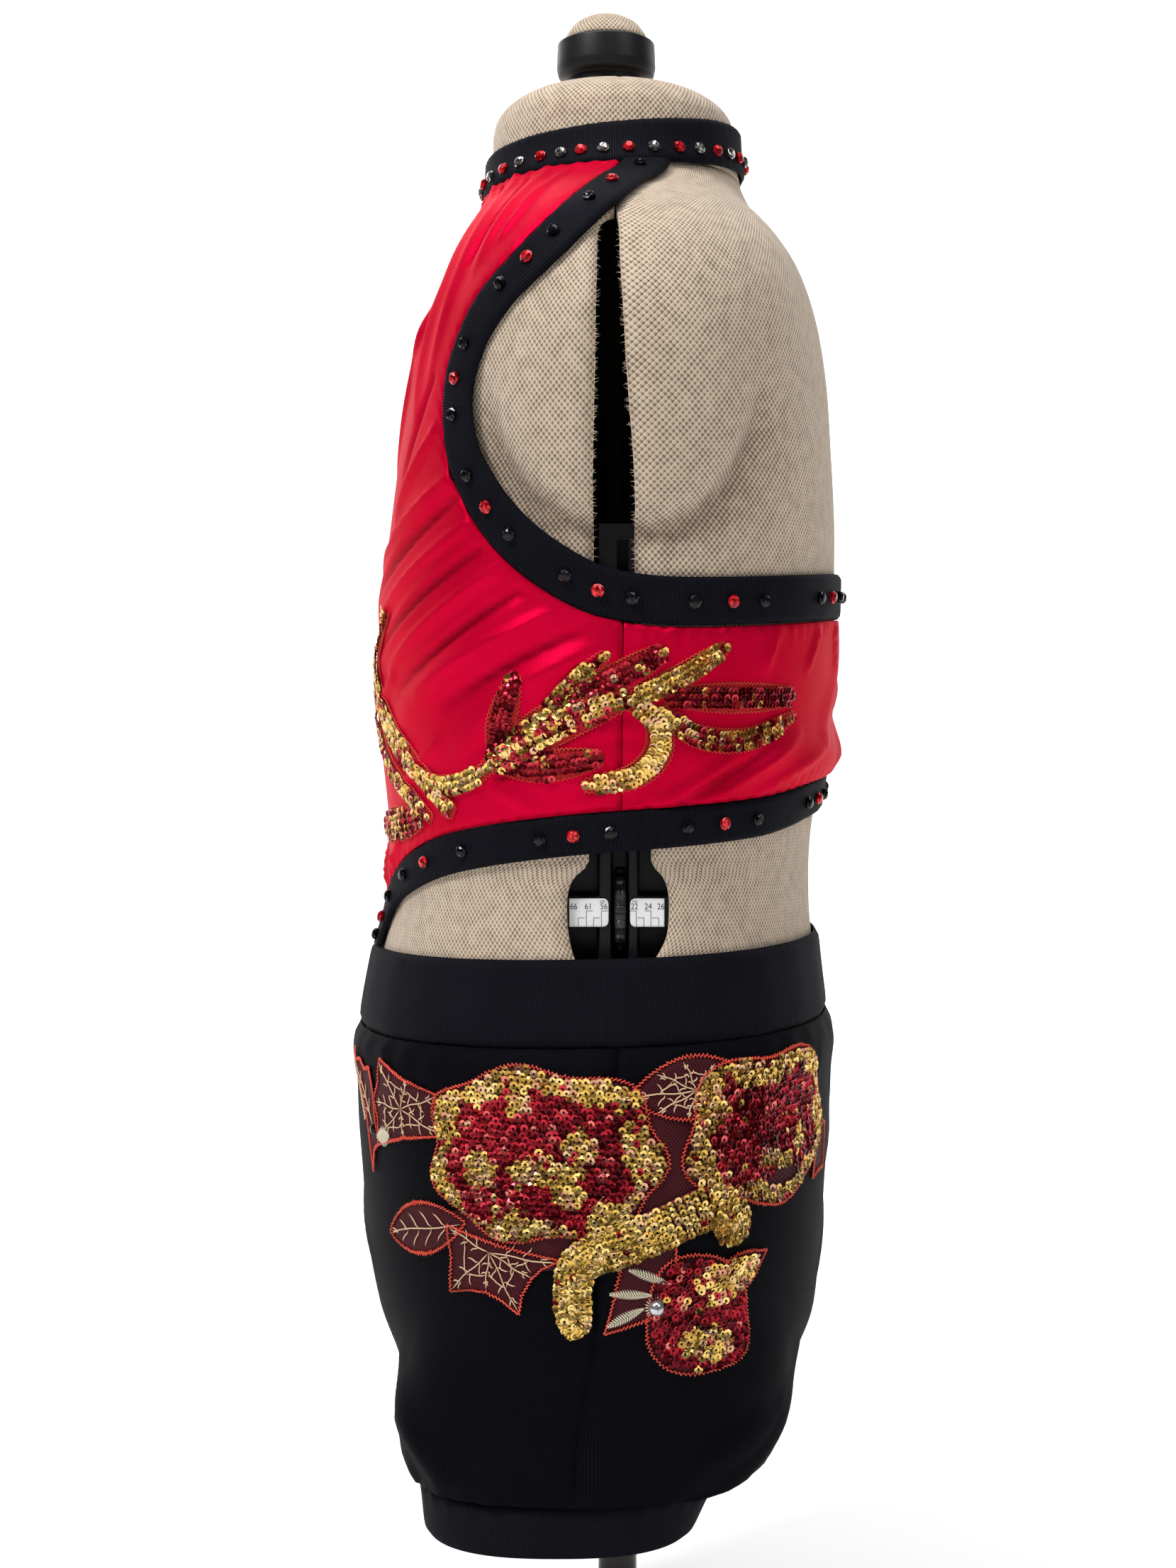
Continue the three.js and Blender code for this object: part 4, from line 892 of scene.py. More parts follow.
def form_quarter(word, side, front, columns, rows):
    """Shell from the centre gap to the side gap. Its rim rolls inwards over the last 3 mm."""
    s = np.linspace(0, 1, columns)[:, None]
    s = s + 0.12 * np.sin(np.pi * s) ** 2 * (s - 0.3)
    z = np.linspace(FORM_LOW, NECK_LOW - SEAM, rows)[None, :] + 0 * s
    centre_gap = mix(3, SEAM, np.clip((z - 560) / 30, 0, 1))
    centre = np.degrees(np.arcsin((centre_gap / half_width(z)) ** (squareness(z) / 2)))
    gap = curve(SIDE_GAP[:, 0], SIDE_GAP[:, 1 if front else 2])(z)
    phi = mix(centre if front else 180 - centre, phi_at_y(np.maximum(gap, SEAM), z, front), s)
    inset = FORM_INSET + SHOULDER_INSET * np.exp(-(((z - 592) / 26) ** 2))
    surface = body(phi, z)
    away = np.linalg.norm(surface - surface[-1:], axis=-1)
    open_gap = np.clip((gap - 1) / 3, 0, 1)
    rolled = 1.7 * np.exp(-((away / 1.6) ** 2)) * open_gap
    if side < 0:
        phi = -phi
    cap = arm_cap(surface)
    outer = body_out(phi, z, cap - inset - rolled)
    inner = body_out(phi, z, cap - inset - SHELL + 0.8 * rolled)
    name = ("form_front_" if front else "form_back_") + word
    # Each point's crease mark, from how deep the arm cap sinks there, paints the knit darker, as shade.
    return wear(wall(name + "_shell", outer, inner, crease=np.clip(-cap / 6, 0, 1)), knit, "form_cloth", name)


for word, side in SIDES:
    for in_front in (True, False):
        form_quarter(word, side, in_front, 46, 170)


# %% Neck, knob and pincushion
def capped(name, rings, finish, slot, *nodes):
    """Rings from the bottom up, with a middle point that closes each end."""
    grid, points, faces = closed_rings(rings)
    uv, turn = flat_cut(grid, True)
    obj = new_mesh(name, points, faces, uv.reshape(-1, 2), turn=turn)
    weld(obj)
    return wear(obj, finish, slot, *nodes)


def weld(obj):
    """Merges each pole's copies of one point."""
    mesh = bmesh.new()
    mesh.from_mesh(obj.data)
    bmesh.ops.remove_doubles(mesh, verts=mesh.verts, dist=1e-6)
    bmesh.ops.dissolve_degenerate(mesh, edges=mesh.edges, dist=1e-6)
    mesh.to_mesh(obj.data)
    mesh.free()


# height, and the section's size as a share of the size at the dome's foot
DOME = np.array([(637, 1), (642.5, 0.975), (647.5, 0.9), (652, 0.76), (655.3, 0.55), (657, 0.32)])
around = np.arange(160)[:, None] * 360 / 160
up_the_dome = np.linspace(0, 1, 26)[None, :]
dome_z, shrink = (curve(np.linspace(0, 1, len(DOME)), DOME[:, k])(up_the_dome) for k in (0, 1))
barrel = body_out(around, np.linspace(NECK_LOW, DOME[0, 0], 12)[None, :], -FORM_INSET + 0 * around)
crown = body_out(around, DOME[0, 0], -FORM_INSET + 0 * around) * np.stack([shrink, shrink, 0 * shrink], -1)
crown = crown + np.stack([0 * dome_z, 0 * dome_z, dome_z], -1)
neck_rings = np.concatenate([barrel[:, :-1], crown], 1)
groove = np.exp(-(((neck_rings[..., 1:2] - 3) / 0.9) ** 2)) * (np.abs(neck_rings[..., :1]) > 8)
neck_rings[..., :2] *= 1 - 0.03 * groove
capped("form_neck_cover", neck_rings, knit, "form_cloth", "form_neck")


def turned(profile, middle_y, segments=96):
    """A profile of radius and height, spun round an upright axis."""
    angle = -np.arange(segments)[:, None] * TAU / segments
    r, z = np.array(profile, float).T
    return np.stack([r * np.cos(angle), middle_y + r * np.sin(angle), z + 0 * angle], -1)


def rounded(profile, radius, steps=5):
    """Each inner corner of a profile becomes a small curve between points a radius before and after."""
    p = np.array(profile, float)
    made = [p[0]]
    for a, b, c in zip(p, p[1:], p[2:]):
        before = b + (a - b) / max(np.linalg.norm(a - b), 1e-9) * min(radius, np.linalg.norm(a - b) * 0.45)
        after = b + (c - b) / max(np.linalg.norm(c - b), 1e-9) * min(radius, np.linalg.norm(c - b) * 0.45)
        made += [mix(mix(before, b, t), mix(b, after, t), t) for t in np.linspace(0, 1, steps)]
    return np.array([*made, p[-1]])


KNOB_Y, KNOB_LOW = -2.4, NECK_TOP + SEAM
knob_outline = [
    (0.4, 0), (15, 0), (16.5, 1.5), (16.5, 5.6), (20, 6.6), (20.8, 10), (20.4, 20), (18.4, 21), (17.9, 20.2),
    (0.4, 20.2),
]
dome_outline = [(0.4, 20.5), (17.4, 20.5), (17, 23.5), (13.4, 28.5), (7, 31.8), (0.4, 32.8)]

# %% [markdown]
# ## Plastic and metal
# The moulded plastic is nearly black, with a fine grain that breaks up its gloss. The pole is
# painted tube and the base a painted plate.

# %% Hard finishes
def moulded(name, colour, roughness, grain=900.0, strength=0.15, **settings):
    finish = Finish(name, **settings)
    fine, broad = finish.noise(grain, 3.0), finish.noise(25.0, 3.0)
    lighter = tuple(min(1.0, c * 1.5 + 0.002) for c in colour)
    finish.set(Base_Color=finish.mixed(broad, colour, lighter), Roughness=fine * 0.12 + (roughness - 0.06))
    return finish.bumped(fine, strength, 0.0001)


black_plastic = moulded("black moulded plastic", (0.007, 0.007, 0.009), 0.42, Specular_IOR_Level=0.25)
wheel_plastic = moulded("ridged wheel plastic", (0.016, 0.016, 0.018), 0.36)
white_plastic = moulded("white scale", (0.80, 0.81, 0.83), 0.5, strength=0.03)
ink = Finish("scale ink", Roughness=0.6)
ink.set(Base_Color=ink.mixed(ink.noise(400.0), (0.008, 0.009, 0.012), (0.03, 0.032, 0.04)))
painted = moulded("painted steel", (0.030, 0.028, 0.026), 0.3, grain=300.0, Metallic=0.6)

knob_profile = rounded([(r, KNOB_LOW + h) for r, h in knob_outline], 0.6)
capped("form_knob_plastic", turned(knob_profile, KNOB_Y), black_plastic, "black_plastic", "form_knob")
cushion_profile = rounded([(r, KNOB_LOW + h) for r, h in dome_outline], 2.4)
cushion = capped("form_pincushion_cover", turned(cushion_profile, KNOB_Y), fine_knit, "form_cloth",
                 "form_pincushion")
pole_profile = rounded([(0.4, -17.7), (8, -17.7), (8, 616.7), (0.4, 616.7)], 0.4)
capped("pole_tube", turned(pole_profile, 2.4), painted, "stand_metal", "pole")
base_profile = [(0.4, -30), (139, -30), (140, -29), (140, -24), (134, -21), (30, -18), (0.4, -18)]
capped("stand_base_plate", turned(rounded(base_profile, 0.8), 0, 160), painted, "stand_metal", "stand_base")
for node in ("slider_left", "slider_right", "adjuster_chest", "adjuster_waist", "dial_housing_right"):
    body_part = bpy.data.objects[node]
    body_part.data.materials.clear()
    body_part.data.materials.append(black_plastic.material)


# %% Boxes, and the dark plates beside the pole
def boxes(name, spans, finish, slot, *nodes, bevel=0.25):
    """Closed boxes from spans of (x, y, z), each low to high, in one mesh with softened edges."""
    corners = np.array([[i, j, k] for i in (0, 1) for j in (0, 1) for k in (0, 1)])
    spans = np.array(spans, float).reshape(-1, 3, 2)
    points = spans[:, np.arange(3), corners].reshape(-1, 3)
    quads = np.array([(0, 1, 3, 2), (4, 6, 7, 5), (0, 4, 5, 1), (2, 3, 7, 6), (0, 2, 6, 4), (1, 5, 7, 3)])
    faces = (quads[None] + 8 * np.arange(len(spans))[:, None, None]).reshape(-1, 4)
    obj = new_mesh(name, points, outward(points, faces), smooth=False)
    soften = obj.modifiers.new("soft edges", "BEVEL")
    soften.width, soften.segments = bevel / 1000, 2
    return wear(obj, finish, slot, *nodes)


# Two thin black plates in the form's middle, one on each side of the pole, close the view through both side
# gaps: they stand in for the shade inside the hollow form.
boxes("pole_guide", [((-0.8, 0.8), (-17, -5.3), (170, 600)), ((-0.8, 0.8), (10.1, 21), (170, 600))],
      black_plastic, "black_plastic")

# %% Parts of the waist dial
# The dial is a moulded plate with a frame and a cross bar. A ridged wheel turns in its slot.
FACE = 109.6


def plate(name, y, z, height, back, finish, slot, *nodes):
    """A height over a grid in y and z, in front of a flat back: a moulded plate."""
    yy, zz = np.meshgrid(y, z, indexing="ij")
    outer, inner = np.stack([height(yy, zz), yy, zz], -1), np.stack([back + 0 * yy, yy, zz], -1)
    return wear(wall(name, outer, inner), finish, slot, *nodes)


def dial_height(y, z):
    """Full height on the frame and the cross bar, 7 mm lower in the four corners, with soft edges."""
    frame = soft((7.4 - np.abs(y - 1.3)) / 0.7 + 0.5)
    bar = soft((6.1 - np.abs(z - 321.6)) / 0.7 + 0.5)
    slot_hole = soft((3.1 - np.abs(y - 1.9)) / 0.6 + 0.5) * soft((24 - np.abs(z - 321)) / 0.6 + 0.5)
    return FACE - 7 * (1 - np.maximum(frame, bar)) - 9 * slot_hole


plate("dial_plate_left", np.linspace(-22.7, 20.7, 94), np.linspace(292.3, 349.7, 84), dial_height, 98.2,
      black_plastic, "black_plastic", "dial_housing_left")


def ridged_wheel(name, node):
    """A disc whose rim steps between two radii, with its edges eased."""
    angle = np.linspace(0, TAU, 288, endpoint=False)[:, None]
    step = soft(np.sin(angle * 18) * 3 + 0.5)
    rim = 16.6 + 1.4 * step
    profile = [(0.4, -2.2), (15.0, -2.2), (None, -1.7), (None, 1.7), (15.0, 2.2), (0.4, 2.2)]
    rows = [(rim if r is None else r + 0 * rim, y) for r, y in profile]
    rings = np.stack([np.concatenate([94 + r * np.cos(angle), 2 + y + 0 * r, 321 + r * np.sin(angle)], 1)
                      for r, y in rows], 1)
    return capped(name, rings, wheel_plastic, "black_plastic", node)


ridged_wheel("dial_wheel_ridged", "dial_wheel_left")


def scale_strip(name, y_from, y_to, rounded_end, node):
    """A thin strip with two round corners at the end that faces the wheel."""
    y, z = np.linspace(0, 1, 40)[:, None], np.linspace(-1, 1, 21)[None, :]
    from_end = y * abs(y_to - y_from)
    half = 5.25 - np.where(from_end < 2, 2 - np.sqrt(np.maximum(4 - (2 - from_end) ** 2, 0)), 0)
    yy = mix(y_to, y_from, y) if rounded_end == "rear" else mix(y_from, y_to, y)
    outer = np.stack(np.broadcast_arrays(FACE + 1.1, yy, 321.25 + half * z), -1)
    inner = outer - (0.8, 0, 0)
    return wear(wall(name, outer, inner), white_plastic, "white_plastic", node)


scale_strip("scale_strip_front", -17, -2.4, "rear", "dial_scale_front_left")
scale_strip("scale_strip_back", 5.6, 18.3, "front", "dial_scale_back_left")


def inked(name, words, lines):
    """Plain numbers and tick lines, 0.05 mm proud of the scale. Words are text, height, y and z."""
    points, faces = [], []
    for text, size, y, z in words:
        curve_data = bpy.data.curves.new(name, "FONT")
        curve_data.body, curve_data.size, curve_data.align_x = text, size, "CENTER"
        shape = bpy.data.objects.new(name + "_text", curve_data)
        letters = bpy.data.meshes.new_from_object(shape)
        place = np.empty(len(letters.vertices) * 3)
        letters.vertices.foreach_get("co", place)
        place = place.reshape(-1, 3)
        letters.calc_loop_triangles()
        corner = np.empty(len(letters.loop_triangles) * 3, np.int32)
        letters.loop_triangles.foreach_get("vertices", corner)
        faces.append(corner.reshape(-1, 3) + sum(map(len, points)))
        points.append(np.stack([FACE + 1.15 + 0 * place[:, 0], y + place[:, 0] * 0.86, z + place[:, 1]], -1))
        bpy.data.objects.remove(shape)
    for y_low, y_high, z_low, z_high in lines:
        base = sum(map(len, points))
        points.append(np.array([(FACE + 1.15, y, z) for y in (y_low, y_high) for z in (z_low, z_high)]))
        faces.append(np.array([(0, 2, 3), (0, 3, 1)]) + base)
    obj = new_mesh(name, np.concatenate(points), np.concatenate(faces), smooth=False)
    return wear(obj, ink, "white_plastic")


def ticks(long_ones, short_ones, side):
    """Each tick is a short top line with an upright under one end of it."""
    lines = []
    for y, top, reach in [(y, 321.9, 2.4) for y in long_ones] + [(y, 319.3, 2.4) for y in short_ones]:
        lines.append((min(y, y + side * reach), max(y, y + side * reach), top - 0.1, top + 0.1))
        lines.append((y - 0.1, y + 0.1, 316.1, top))
    return lines


front_words = [("66", 3.2, -15.3, 322.5), ("61", 3.2, -9.9, 322.5), ("56", 3.2, -4.1, 322.5),
               ("cm", 1.9, -4.6, 324.9)]
back_words = [("22", 3.2, 7.2, 322.5), ("24", 3.2, 12.3, 322.5), ("26", 3.2, 17.0, 322.5),
              ("ins", 1.9, 7.4, 324.9)]
inked("scale_front_numbers", front_words, ticks((-10.6, -5.0), (-13.6, -7.9), 1))
inked("scale_back_numbers", back_words, ticks((7.9, 13.3), (10.7, 16.2), -1))

# %% [markdown]
# ## Stones on the bands
# Faceted stones are set one by one. One small closed shape is copied to every place as arrays, and
# turned so that its base lies on the cloth.

# %% Copies of one small shape
def scatter(name, shape, faces, places, normals, finish, slot, spin=0.0, size=1.0, smooth=False, **values):
    """Each copy is place + size * (x * side + y * up + z * normal), with side and up spun round it."""
    n = unit(normals)
    side = unit(np.cross((0.0, 0.0, 1.0), n))
    up = np.cross(n, side)
    c, s = np.cos(spin + np.zeros(len(n)))[:, None], np.sin(spin + np.zeros(len(n)))[:, None]
    side, up = side * c + up * s, up * c - side * s
    axes = np.stack([side, up, n], 1) * (size + np.zeros(len(n)))[:, None, None]
    points = (places[:, None] + np.einsum("pk,nkc->npc", shape, axes)).reshape(-1, 3)
    every = (faces[None] + len(shape) * np.arange(len(n))[:, None, None]).reshape(-1, faces.shape[1])
    spread = {key: np.repeat(value, len(shape)) for key, value in values.items()}
    obj = new_mesh(name, points, every, smooth=smooth, **spread)
    print(name, len(n), "copies")
    return wear(obj, finish, slot)


def stone_shape(sides=8):
    """Rings of radius and height, with a turned ring at the table, closed by a point at each end."""
    rings = [(0.01, 0.0, 0), (2.2, 0.0, 0), (2.55, 0.9, 0), (2.0, 1.7, 0.5), (1.25, 2.25, 0), (0.01, 2.35, 0)]
    angle = np.arange(sides) * TAU / sides
    ring = lambda r, h, a: np.stack([r * np.cos(a), r * np.sin(a), h + 0 * a], -1)
    points = np.stack([ring(r, h, angle + t * TAU / sides) for r, h, t in rings], 1).reshape(-1, 3)
    return points, outward(points, grid_faces(sides, len(rings), True))


def glassy(name, dark, light, **settings):
    finish = Finish(name, Roughness=0.1, **settings)
    # A fine noise mixes a dark and a light colour over each stone: painted light and shade of its facets, not
    # a colour of the stone.
    painted_facet_light = finish.noise(700.0, 1.0)
    return finish.set(Base_Color=finish.ramp(painted_facet_light, (0.42, dark), (0.62, light)))


red_stone = glassy("red stone", (0.20, 0.001, 0.004), (0.90, 0.02, 0.03), Metallic=0.35)
black_stone = glassy("jet stone", (0.001, 0.001, 0.0015), (0.006, 0.006, 0.008), Specular_IOR_Level=0.25)
grey_stone = glassy("hematite stone", (0.10, 0.095, 0.09), (0.75, 0.73, 0.70), Metallic=0.85)


def along_line(phi, z, arcs):
    """Places at set distances along a line on the body, with their normals."""
    run = run_of(body(phi, z))
    p, h = np.interp(arcs, run, phi), np.interp(arcs, run, z)
    p, h = np.concatenate([p, -p]), np.concatenate([h, h])
    return body_out(p, h, EASE + RIB + 0.05), normal_of(body, p, h)


COLLAR_STONES = np.array([3, 14, 26, 38, 49, 60, 69, 77, 85.5, 95, 105, 116, 126, 137, 147, 157, 167, 178])
ARM_STONES = np.array([9.7, 54, 76, 97, 110, 123, 148, 161, 174, 197, 211, 224, 249, 262, 274.5, 297, 312,
                       326, 364, 379, 394, 425, 438.5, 452])
HEM_STONES = np.array([4, 12, 24, 46, 66, 90, 124, 136.5, 150, 178, 193, 209, 248, 263, 278, 310])
phis = np.linspace(0, 180, 1500)
collar_line = along_line(phis, mix(collar_low(phis), collar_high(phis), 0.28), COLLAR_STONES)
middle = BAND_ROWS // 2
arm_line = along_line(arm_places[0][:, middle], arm_places[1][:, middle], ARM_STONES)
hem_line = along_line(hem_places[0][:, middle], hem_places[1][:, middle], HEM_STONES)
shape, shape_faces = stone_shape()
is_red = [np.tile(np.arange(len(row)) % cycle == 1, 2)
          for row, cycle in ((COLLAR_STONES, 2), (ARM_STONES, 3), (HEM_STONES, 3))]
for name, finish, lines, chosen in (
    ("stones_red", red_stone, (collar_line, arm_line, hem_line), is_red),
    ("stones_black", black_stone, (arm_line, hem_line), [~m for m in is_red[1:]]),
    ("stones_grey", grey_stone, (collar_line,), [~is_red[0]]),
):
    places = np.concatenate([line[0][keep] for line, keep in zip(lines, chosen)])
    normals = np.concatenate([line[1][keep] for line, keep in zip(lines, chosen)])
    scatter(name, shape, shape_faces, places, normals, finish, "sequins", spin=np.arange(len(places)) * 0.7)

# %% [markdown]
# ## Loose fibres
# Where the knit was cut and turned in at the side gap, short fibres stand off its edge and blur it.
# Each one is a thin three sided spike at a random height along the gap.

# %% Loose fibres
fibre = np.array([(0.13, 0, -0.3), (-0.07, 0.12, -0.3), (-0.07, -0.12, -0.3), (0.5, 0.3, 1.9)])
fibre_faces = outward(fibre, np.array([(0, 2, 1), (0, 1, 3), (1, 2, 3), (2, 0, 3)]))
fluff = np.random.default_rng(3)
fibre_z = fluff.uniform(362, 574, 440)
fibre_back = np.arange(440) % 2 == 0
fibre_gap = np.where(fibre_back, *(curve(SIDE_GAP[:, 0], SIDE_GAP[:, k])(fibre_z) for k in (2, 1)))
fibre_phi = np.where(fibre_back, phi_at_y(fibre_gap, fibre_z, False), phi_at_y(fibre_gap, fibre_z, True))
fibre_at = body_out(fibre_phi, fibre_z, arm_cap(body(fibre_phi, fibre_z)) - 1.8)
to_the_gap = np.stack([0.7 + 0 * fibre_z, np.where(fibre_back, -0.7, 0.7), 0 * fibre_z], 1)
leaning = fluff.normal(0, 0.5, fibre_at.shape) + to_the_gap
mirror = np.array([-1, 1, 1])
scatter("loose_fibres", fibre, fibre_faces, np.concatenate([fibre_at, fibre_at * mirror]),
        np.concatenate([leaning, leaning * mirror]), knit, "form_cloth", spin=fluff.uniform(0, TAU, 880))

# %% [markdown]
# ## Two charts for the embroidery
# The motifs are drawn on flat charts in millimetres: across is the distance from the side seam
# round the body, plus towards the back, and up is the height. Two functions lay a chart's places on
# the jersey and on the satin, with any height above the cloth.

# %% Charts
chart_turn = np.linspace(-0.97, 0.97, 800)
chart_line = shorts_out(1, chart_turn, 225.0, CLOTH)
chart_run = run_of(chart_line)
chart_run -= np.interp(0.0, chart_turn, chart_run)


def on_hip(side, across_, up, out):
    turn = np.interp(across_, chart_run, chart_turn)
    relief = 0.3 + JERSEY_THICK + fold_height(SHORTS_CREASES, 90 + 90 * turn, up)
    return shorts_out(side, turn, up, relief + out)


def on_top(side, phi, z, out):
    relief = satin_out(phi, z) + fold_height(TOP_CREASES, phi, z) + 0.3 + SATIN_THICK
    return body_out(side * phi, z, relief + out)


def normals_on(chart, side, a, b):
    return side * normal_of(lambda p, q: chart(side, p, q, 0.0), a, b)


# %% Outlines of motifs
theta = np.linspace(0, TAU, 180, endpoint=False)


def blossom(middle, half, lobes, phase, depth=0.05, power=2.5):
    """A superellipse whose radius swells and sinks with a cosine, one wave for each lobe."""
    c, s = np.cos(theta), np.sin(theta)
    r = (np.abs(c) ** power + np.abs(s) ** power) ** (-1 / power)
    r = r * (1 + depth * np.cos(lobes * theta + phase))
    return np.stack([middle[0] + half[0] * r * c, middle[1] + half[1] * r * s], -1)


def axes_of(tip, stalk):
    """The stalk, the way from it to the tip, and a step of 1 mm across that."""
    tip, stalk = np.array(tip, float), np.array(stalk, float)
    axis = tip - stalk
    return stalk, axis, np.array([-axis[1], axis[0]]) / np.hypot(*axis)


def leaf(tip, stalk, half, power=1.3):
    """A pointed oval between two ends: its half width is a sine of the way along, to a power."""
    stalk, axis, out = axes_of(tip, stalk)
    way = (1 + np.cos(theta)) / 2
    width = half * np.sin(np.pi * way) ** power * np.sign(np.sin(theta))
    return stalk + axis * way[:, None] + out * width[:, None]


def star_leaf(middle, points, inner):
    """Straight edges from each point to a notch between it and the next."""
    middle, points = np.array(middle, float), np.array(points, float)
    notch = middle + (np.roll(points, -1, 0) + points - 2 * middle) / 2 * inner
    ring = np.stack([points, notch], 1).reshape(-1, 2)
    ring = np.concatenate([ring, ring[:1]])
    t = np.linspace(0, len(ring) - 1, len(theta), endpoint=False)
    return np.stack([np.interp(t, np.arange(len(ring)), ring[:, k]) for k in (0, 1)], -1)


def ribbon_outline(path, half):
    """Both sides of a path, a half width from it, joined at their ends."""
    path = np.array(path, float)
    t = np.linspace(0, len(path) - 1, 90)
    line = np.stack([curve(np.arange(len(path)), path[:, k])(t) for k in (0, 1)], -1)
    run = np.gradient(line, axis=0)
    side_way = np.stack([-run[:, 1], run[:, 0]], -1) / np.hypot(*run.T)[:, None]
    reach = mix(half[0], half[1], t / t[-1])[:, None] * (1 - (2 * t / t[-1] - 1) ** 20 * 0.6)[:, None]
    return line, side_way * reach


# %% [markdown]
# ## Net grounds
# The motifs were embroidered on net and cut out round their edges. Each ground is a thin closed disc
# on the chart: rings shrink from the outline to the middle on its face, and again on its back.

# %% Net and grounds
def netting(name, ground, cord_colour, pitch=1.15):
    """Two slanting sets of cords: each is the highest part of a cosine over the surface."""
    finish = Finish(name, Roughness=0.7, Specular_IOR_Level=0.15)
    x, y, z = finish.parts(finish.place())
    one = ((y + x * 0.35 + z * 0.58) * (TAU / pitch)).cos()
    two = ((y + x * 0.35 - z * 0.58) * (TAU / pitch)).cos()
    cords = (one.most(two) * 2.2 - 1.2).held()
    finish.set(Base_Color=finish.mixed((cords * (finish.noise(90.0) + 0.4)).held(), ground, cord_colour))
    return finish.bumped(cords, 0.4, 0.0003)


dark_net = netting("maroon net", (0.020, 0.002, 0.005), (0.12, 0.010, 0.016))
red_net = netting("red net", (0.50, 0.004, 0.02), (0.72, 0.05, 0.03))


def disc(chart, side, outline, low, high, rows=5):
    """Rings at shares of the way from the middle to the outline, up the face and down the back."""
    middle = outline.mean(0)
    share = np.concatenate([np.linspace(0.02, 1, rows), np.linspace(1, 0.02, rows)])
    lift = np.concatenate([np.full(rows, high), np.full(rows, low)])
    place = middle + share[None, :, None] * (outline[::2, None] - middle)
    return closed_rings(chart(side, place[..., 0], place[..., 1], lift[None, :]))[1:]


def joined(name, parts, finish, slot, *nodes):
    """Several closed shapes as one object."""
    start = np.cumsum([0] + [len(points) for points, _ in parts])
    points = np.concatenate([points for points, _ in parts])
    faces = np.concatenate([faces + k for k, (_, faces) in zip(start, parts)])
    obj = new_mesh(name, points, faces)
    weld(obj)
    print(name, len(parts), "shapes", len(obj.data.polygons), "faces")
    return wear(obj, finish, slot, *nodes)


HIP_MOTIFS = {
    "large_flower": blossom((-28, 235), (44.5, 30), 7, 0.4, 0.06),
    "small_flower": blossom((66, 242), (40.5, 27), 5, 1.0, 0.07),
    "bud": blossom((32, 176.5), (21, 22), 3, 0.6),
    "bud_wing": leaf((64, 197), (34, 184), 7),
    "upper_leaf": leaf((4, 256), (51, 262), 11, 0.9),
    "oval_leaf": leaf((-105, 198), (-58, 209), 9.5, 0.8),
    "front_leaf": star_leaf((-91, 246), [(-106, 263), (-70, 254), (-68, 239), (-112, 230), (-116, 247)], 0.9),
    "maple_leaf": star_leaf(
        (-47, 196), [(-67, 207), (-67, 182), (-50, 184), (-37, 177), (-31, 191), (-20, 198)], 0.92),
    "front_feather": star_leaf(
        (-124, 244), [(-144, 263), (-131, 260), (-118, 258), (-112, 230), (-121, 218), (-127, 240)], 0.85),
    "bud_leaf": star_leaf((12, 184), [(-4, 171), (2, 197), (22, 206), (24, 180)], 0.97),
    "between": blossom((5, 231), (30, 25), 4, 0.5, 0.04, 2.2),
    "under": blossom((-32, 206), (36, 12), 4, 0.5, 0.04, 2.2),
    "back_leaf": star_leaf((108, 228), [(103, 242), (116, 236), (118, 219), (101, 217)], 0.9),
}
BRANCH = [(46, 203), (44, 212), (36, 216.5), (18, 210), (4, 204.5), (-9, 200), (-15, 194), (-16, 183),
          (-15, 171)]
branch_line, branch_side = ribbon_outline(BRANCH, (8.2, 5.8))
branch_edge = np.concatenate([branch_line + branch_side, (branch_line - branch_side)[::-1]])


def strip(chart, side, line, out, low, high, rows=7):
    """A ribbon on the chart as a thin closed wall."""
    w = np.linspace(-1, 1, rows)[None, :, None]
    place = line[:, None] + out[:, None] * w
    return two_skins(*(chart(side, place[..., 0], place[..., 1], lift) for lift in (high, low)))


UNDER_LAYER = ("between", "under", "back_leaf")
for word, side in SIDES:
    parts = [disc(on_hip, side, ring, *((0.05, 0.3) if key in UNDER_LAYER else (0.35, 0.6)))
             for key, ring in HIP_MOTIFS.items()]
    parts.append(strip(on_hip, side, branch_line, branch_side * 1.1, 0.65, 0.85))
    joined("hip_net_" + word, parts, dark_net, "sequins", "hip_applique_" + word)

# %% [markdown]
# ## Sequins
# A sequin here is a cupped ring of seven flat facets, so that each one glints at its own angle. They
# are sewn in rows that overlap. Each one gets a tone of its own, and a mark for gold or crimson.

# %% Sequin shape and finish
def sequin_shape(sides=7):
    """A closed ring with three edges round its hole: inner rim, raised outer rim and underside."""
    angle = np.arange(sides) * TAU / sides
    ring = lambda r, h: np.stack([r * np.cos(angle), r * np.sin(angle), h + 0 * angle], -1)
    points = np.stack([ring(0.52, 0.0), ring(1.62, 0.26), ring(1.2, -0.06)], 1).reshape(-1, 3)
    i, j = np.arange(sides)[:, None], np.arange(3)[None, :]
    a, b = (3 * i + j).ravel(), (3 * ((i + 1) % sides) + j).ravel()
    c, d = (3 * ((i + 1) % sides) + (j + 1) % 3).ravel(), (3 * i + (j + 1) % 3).ravel()
    return points, outward(points, np.stack([a, b, c, d], 1))


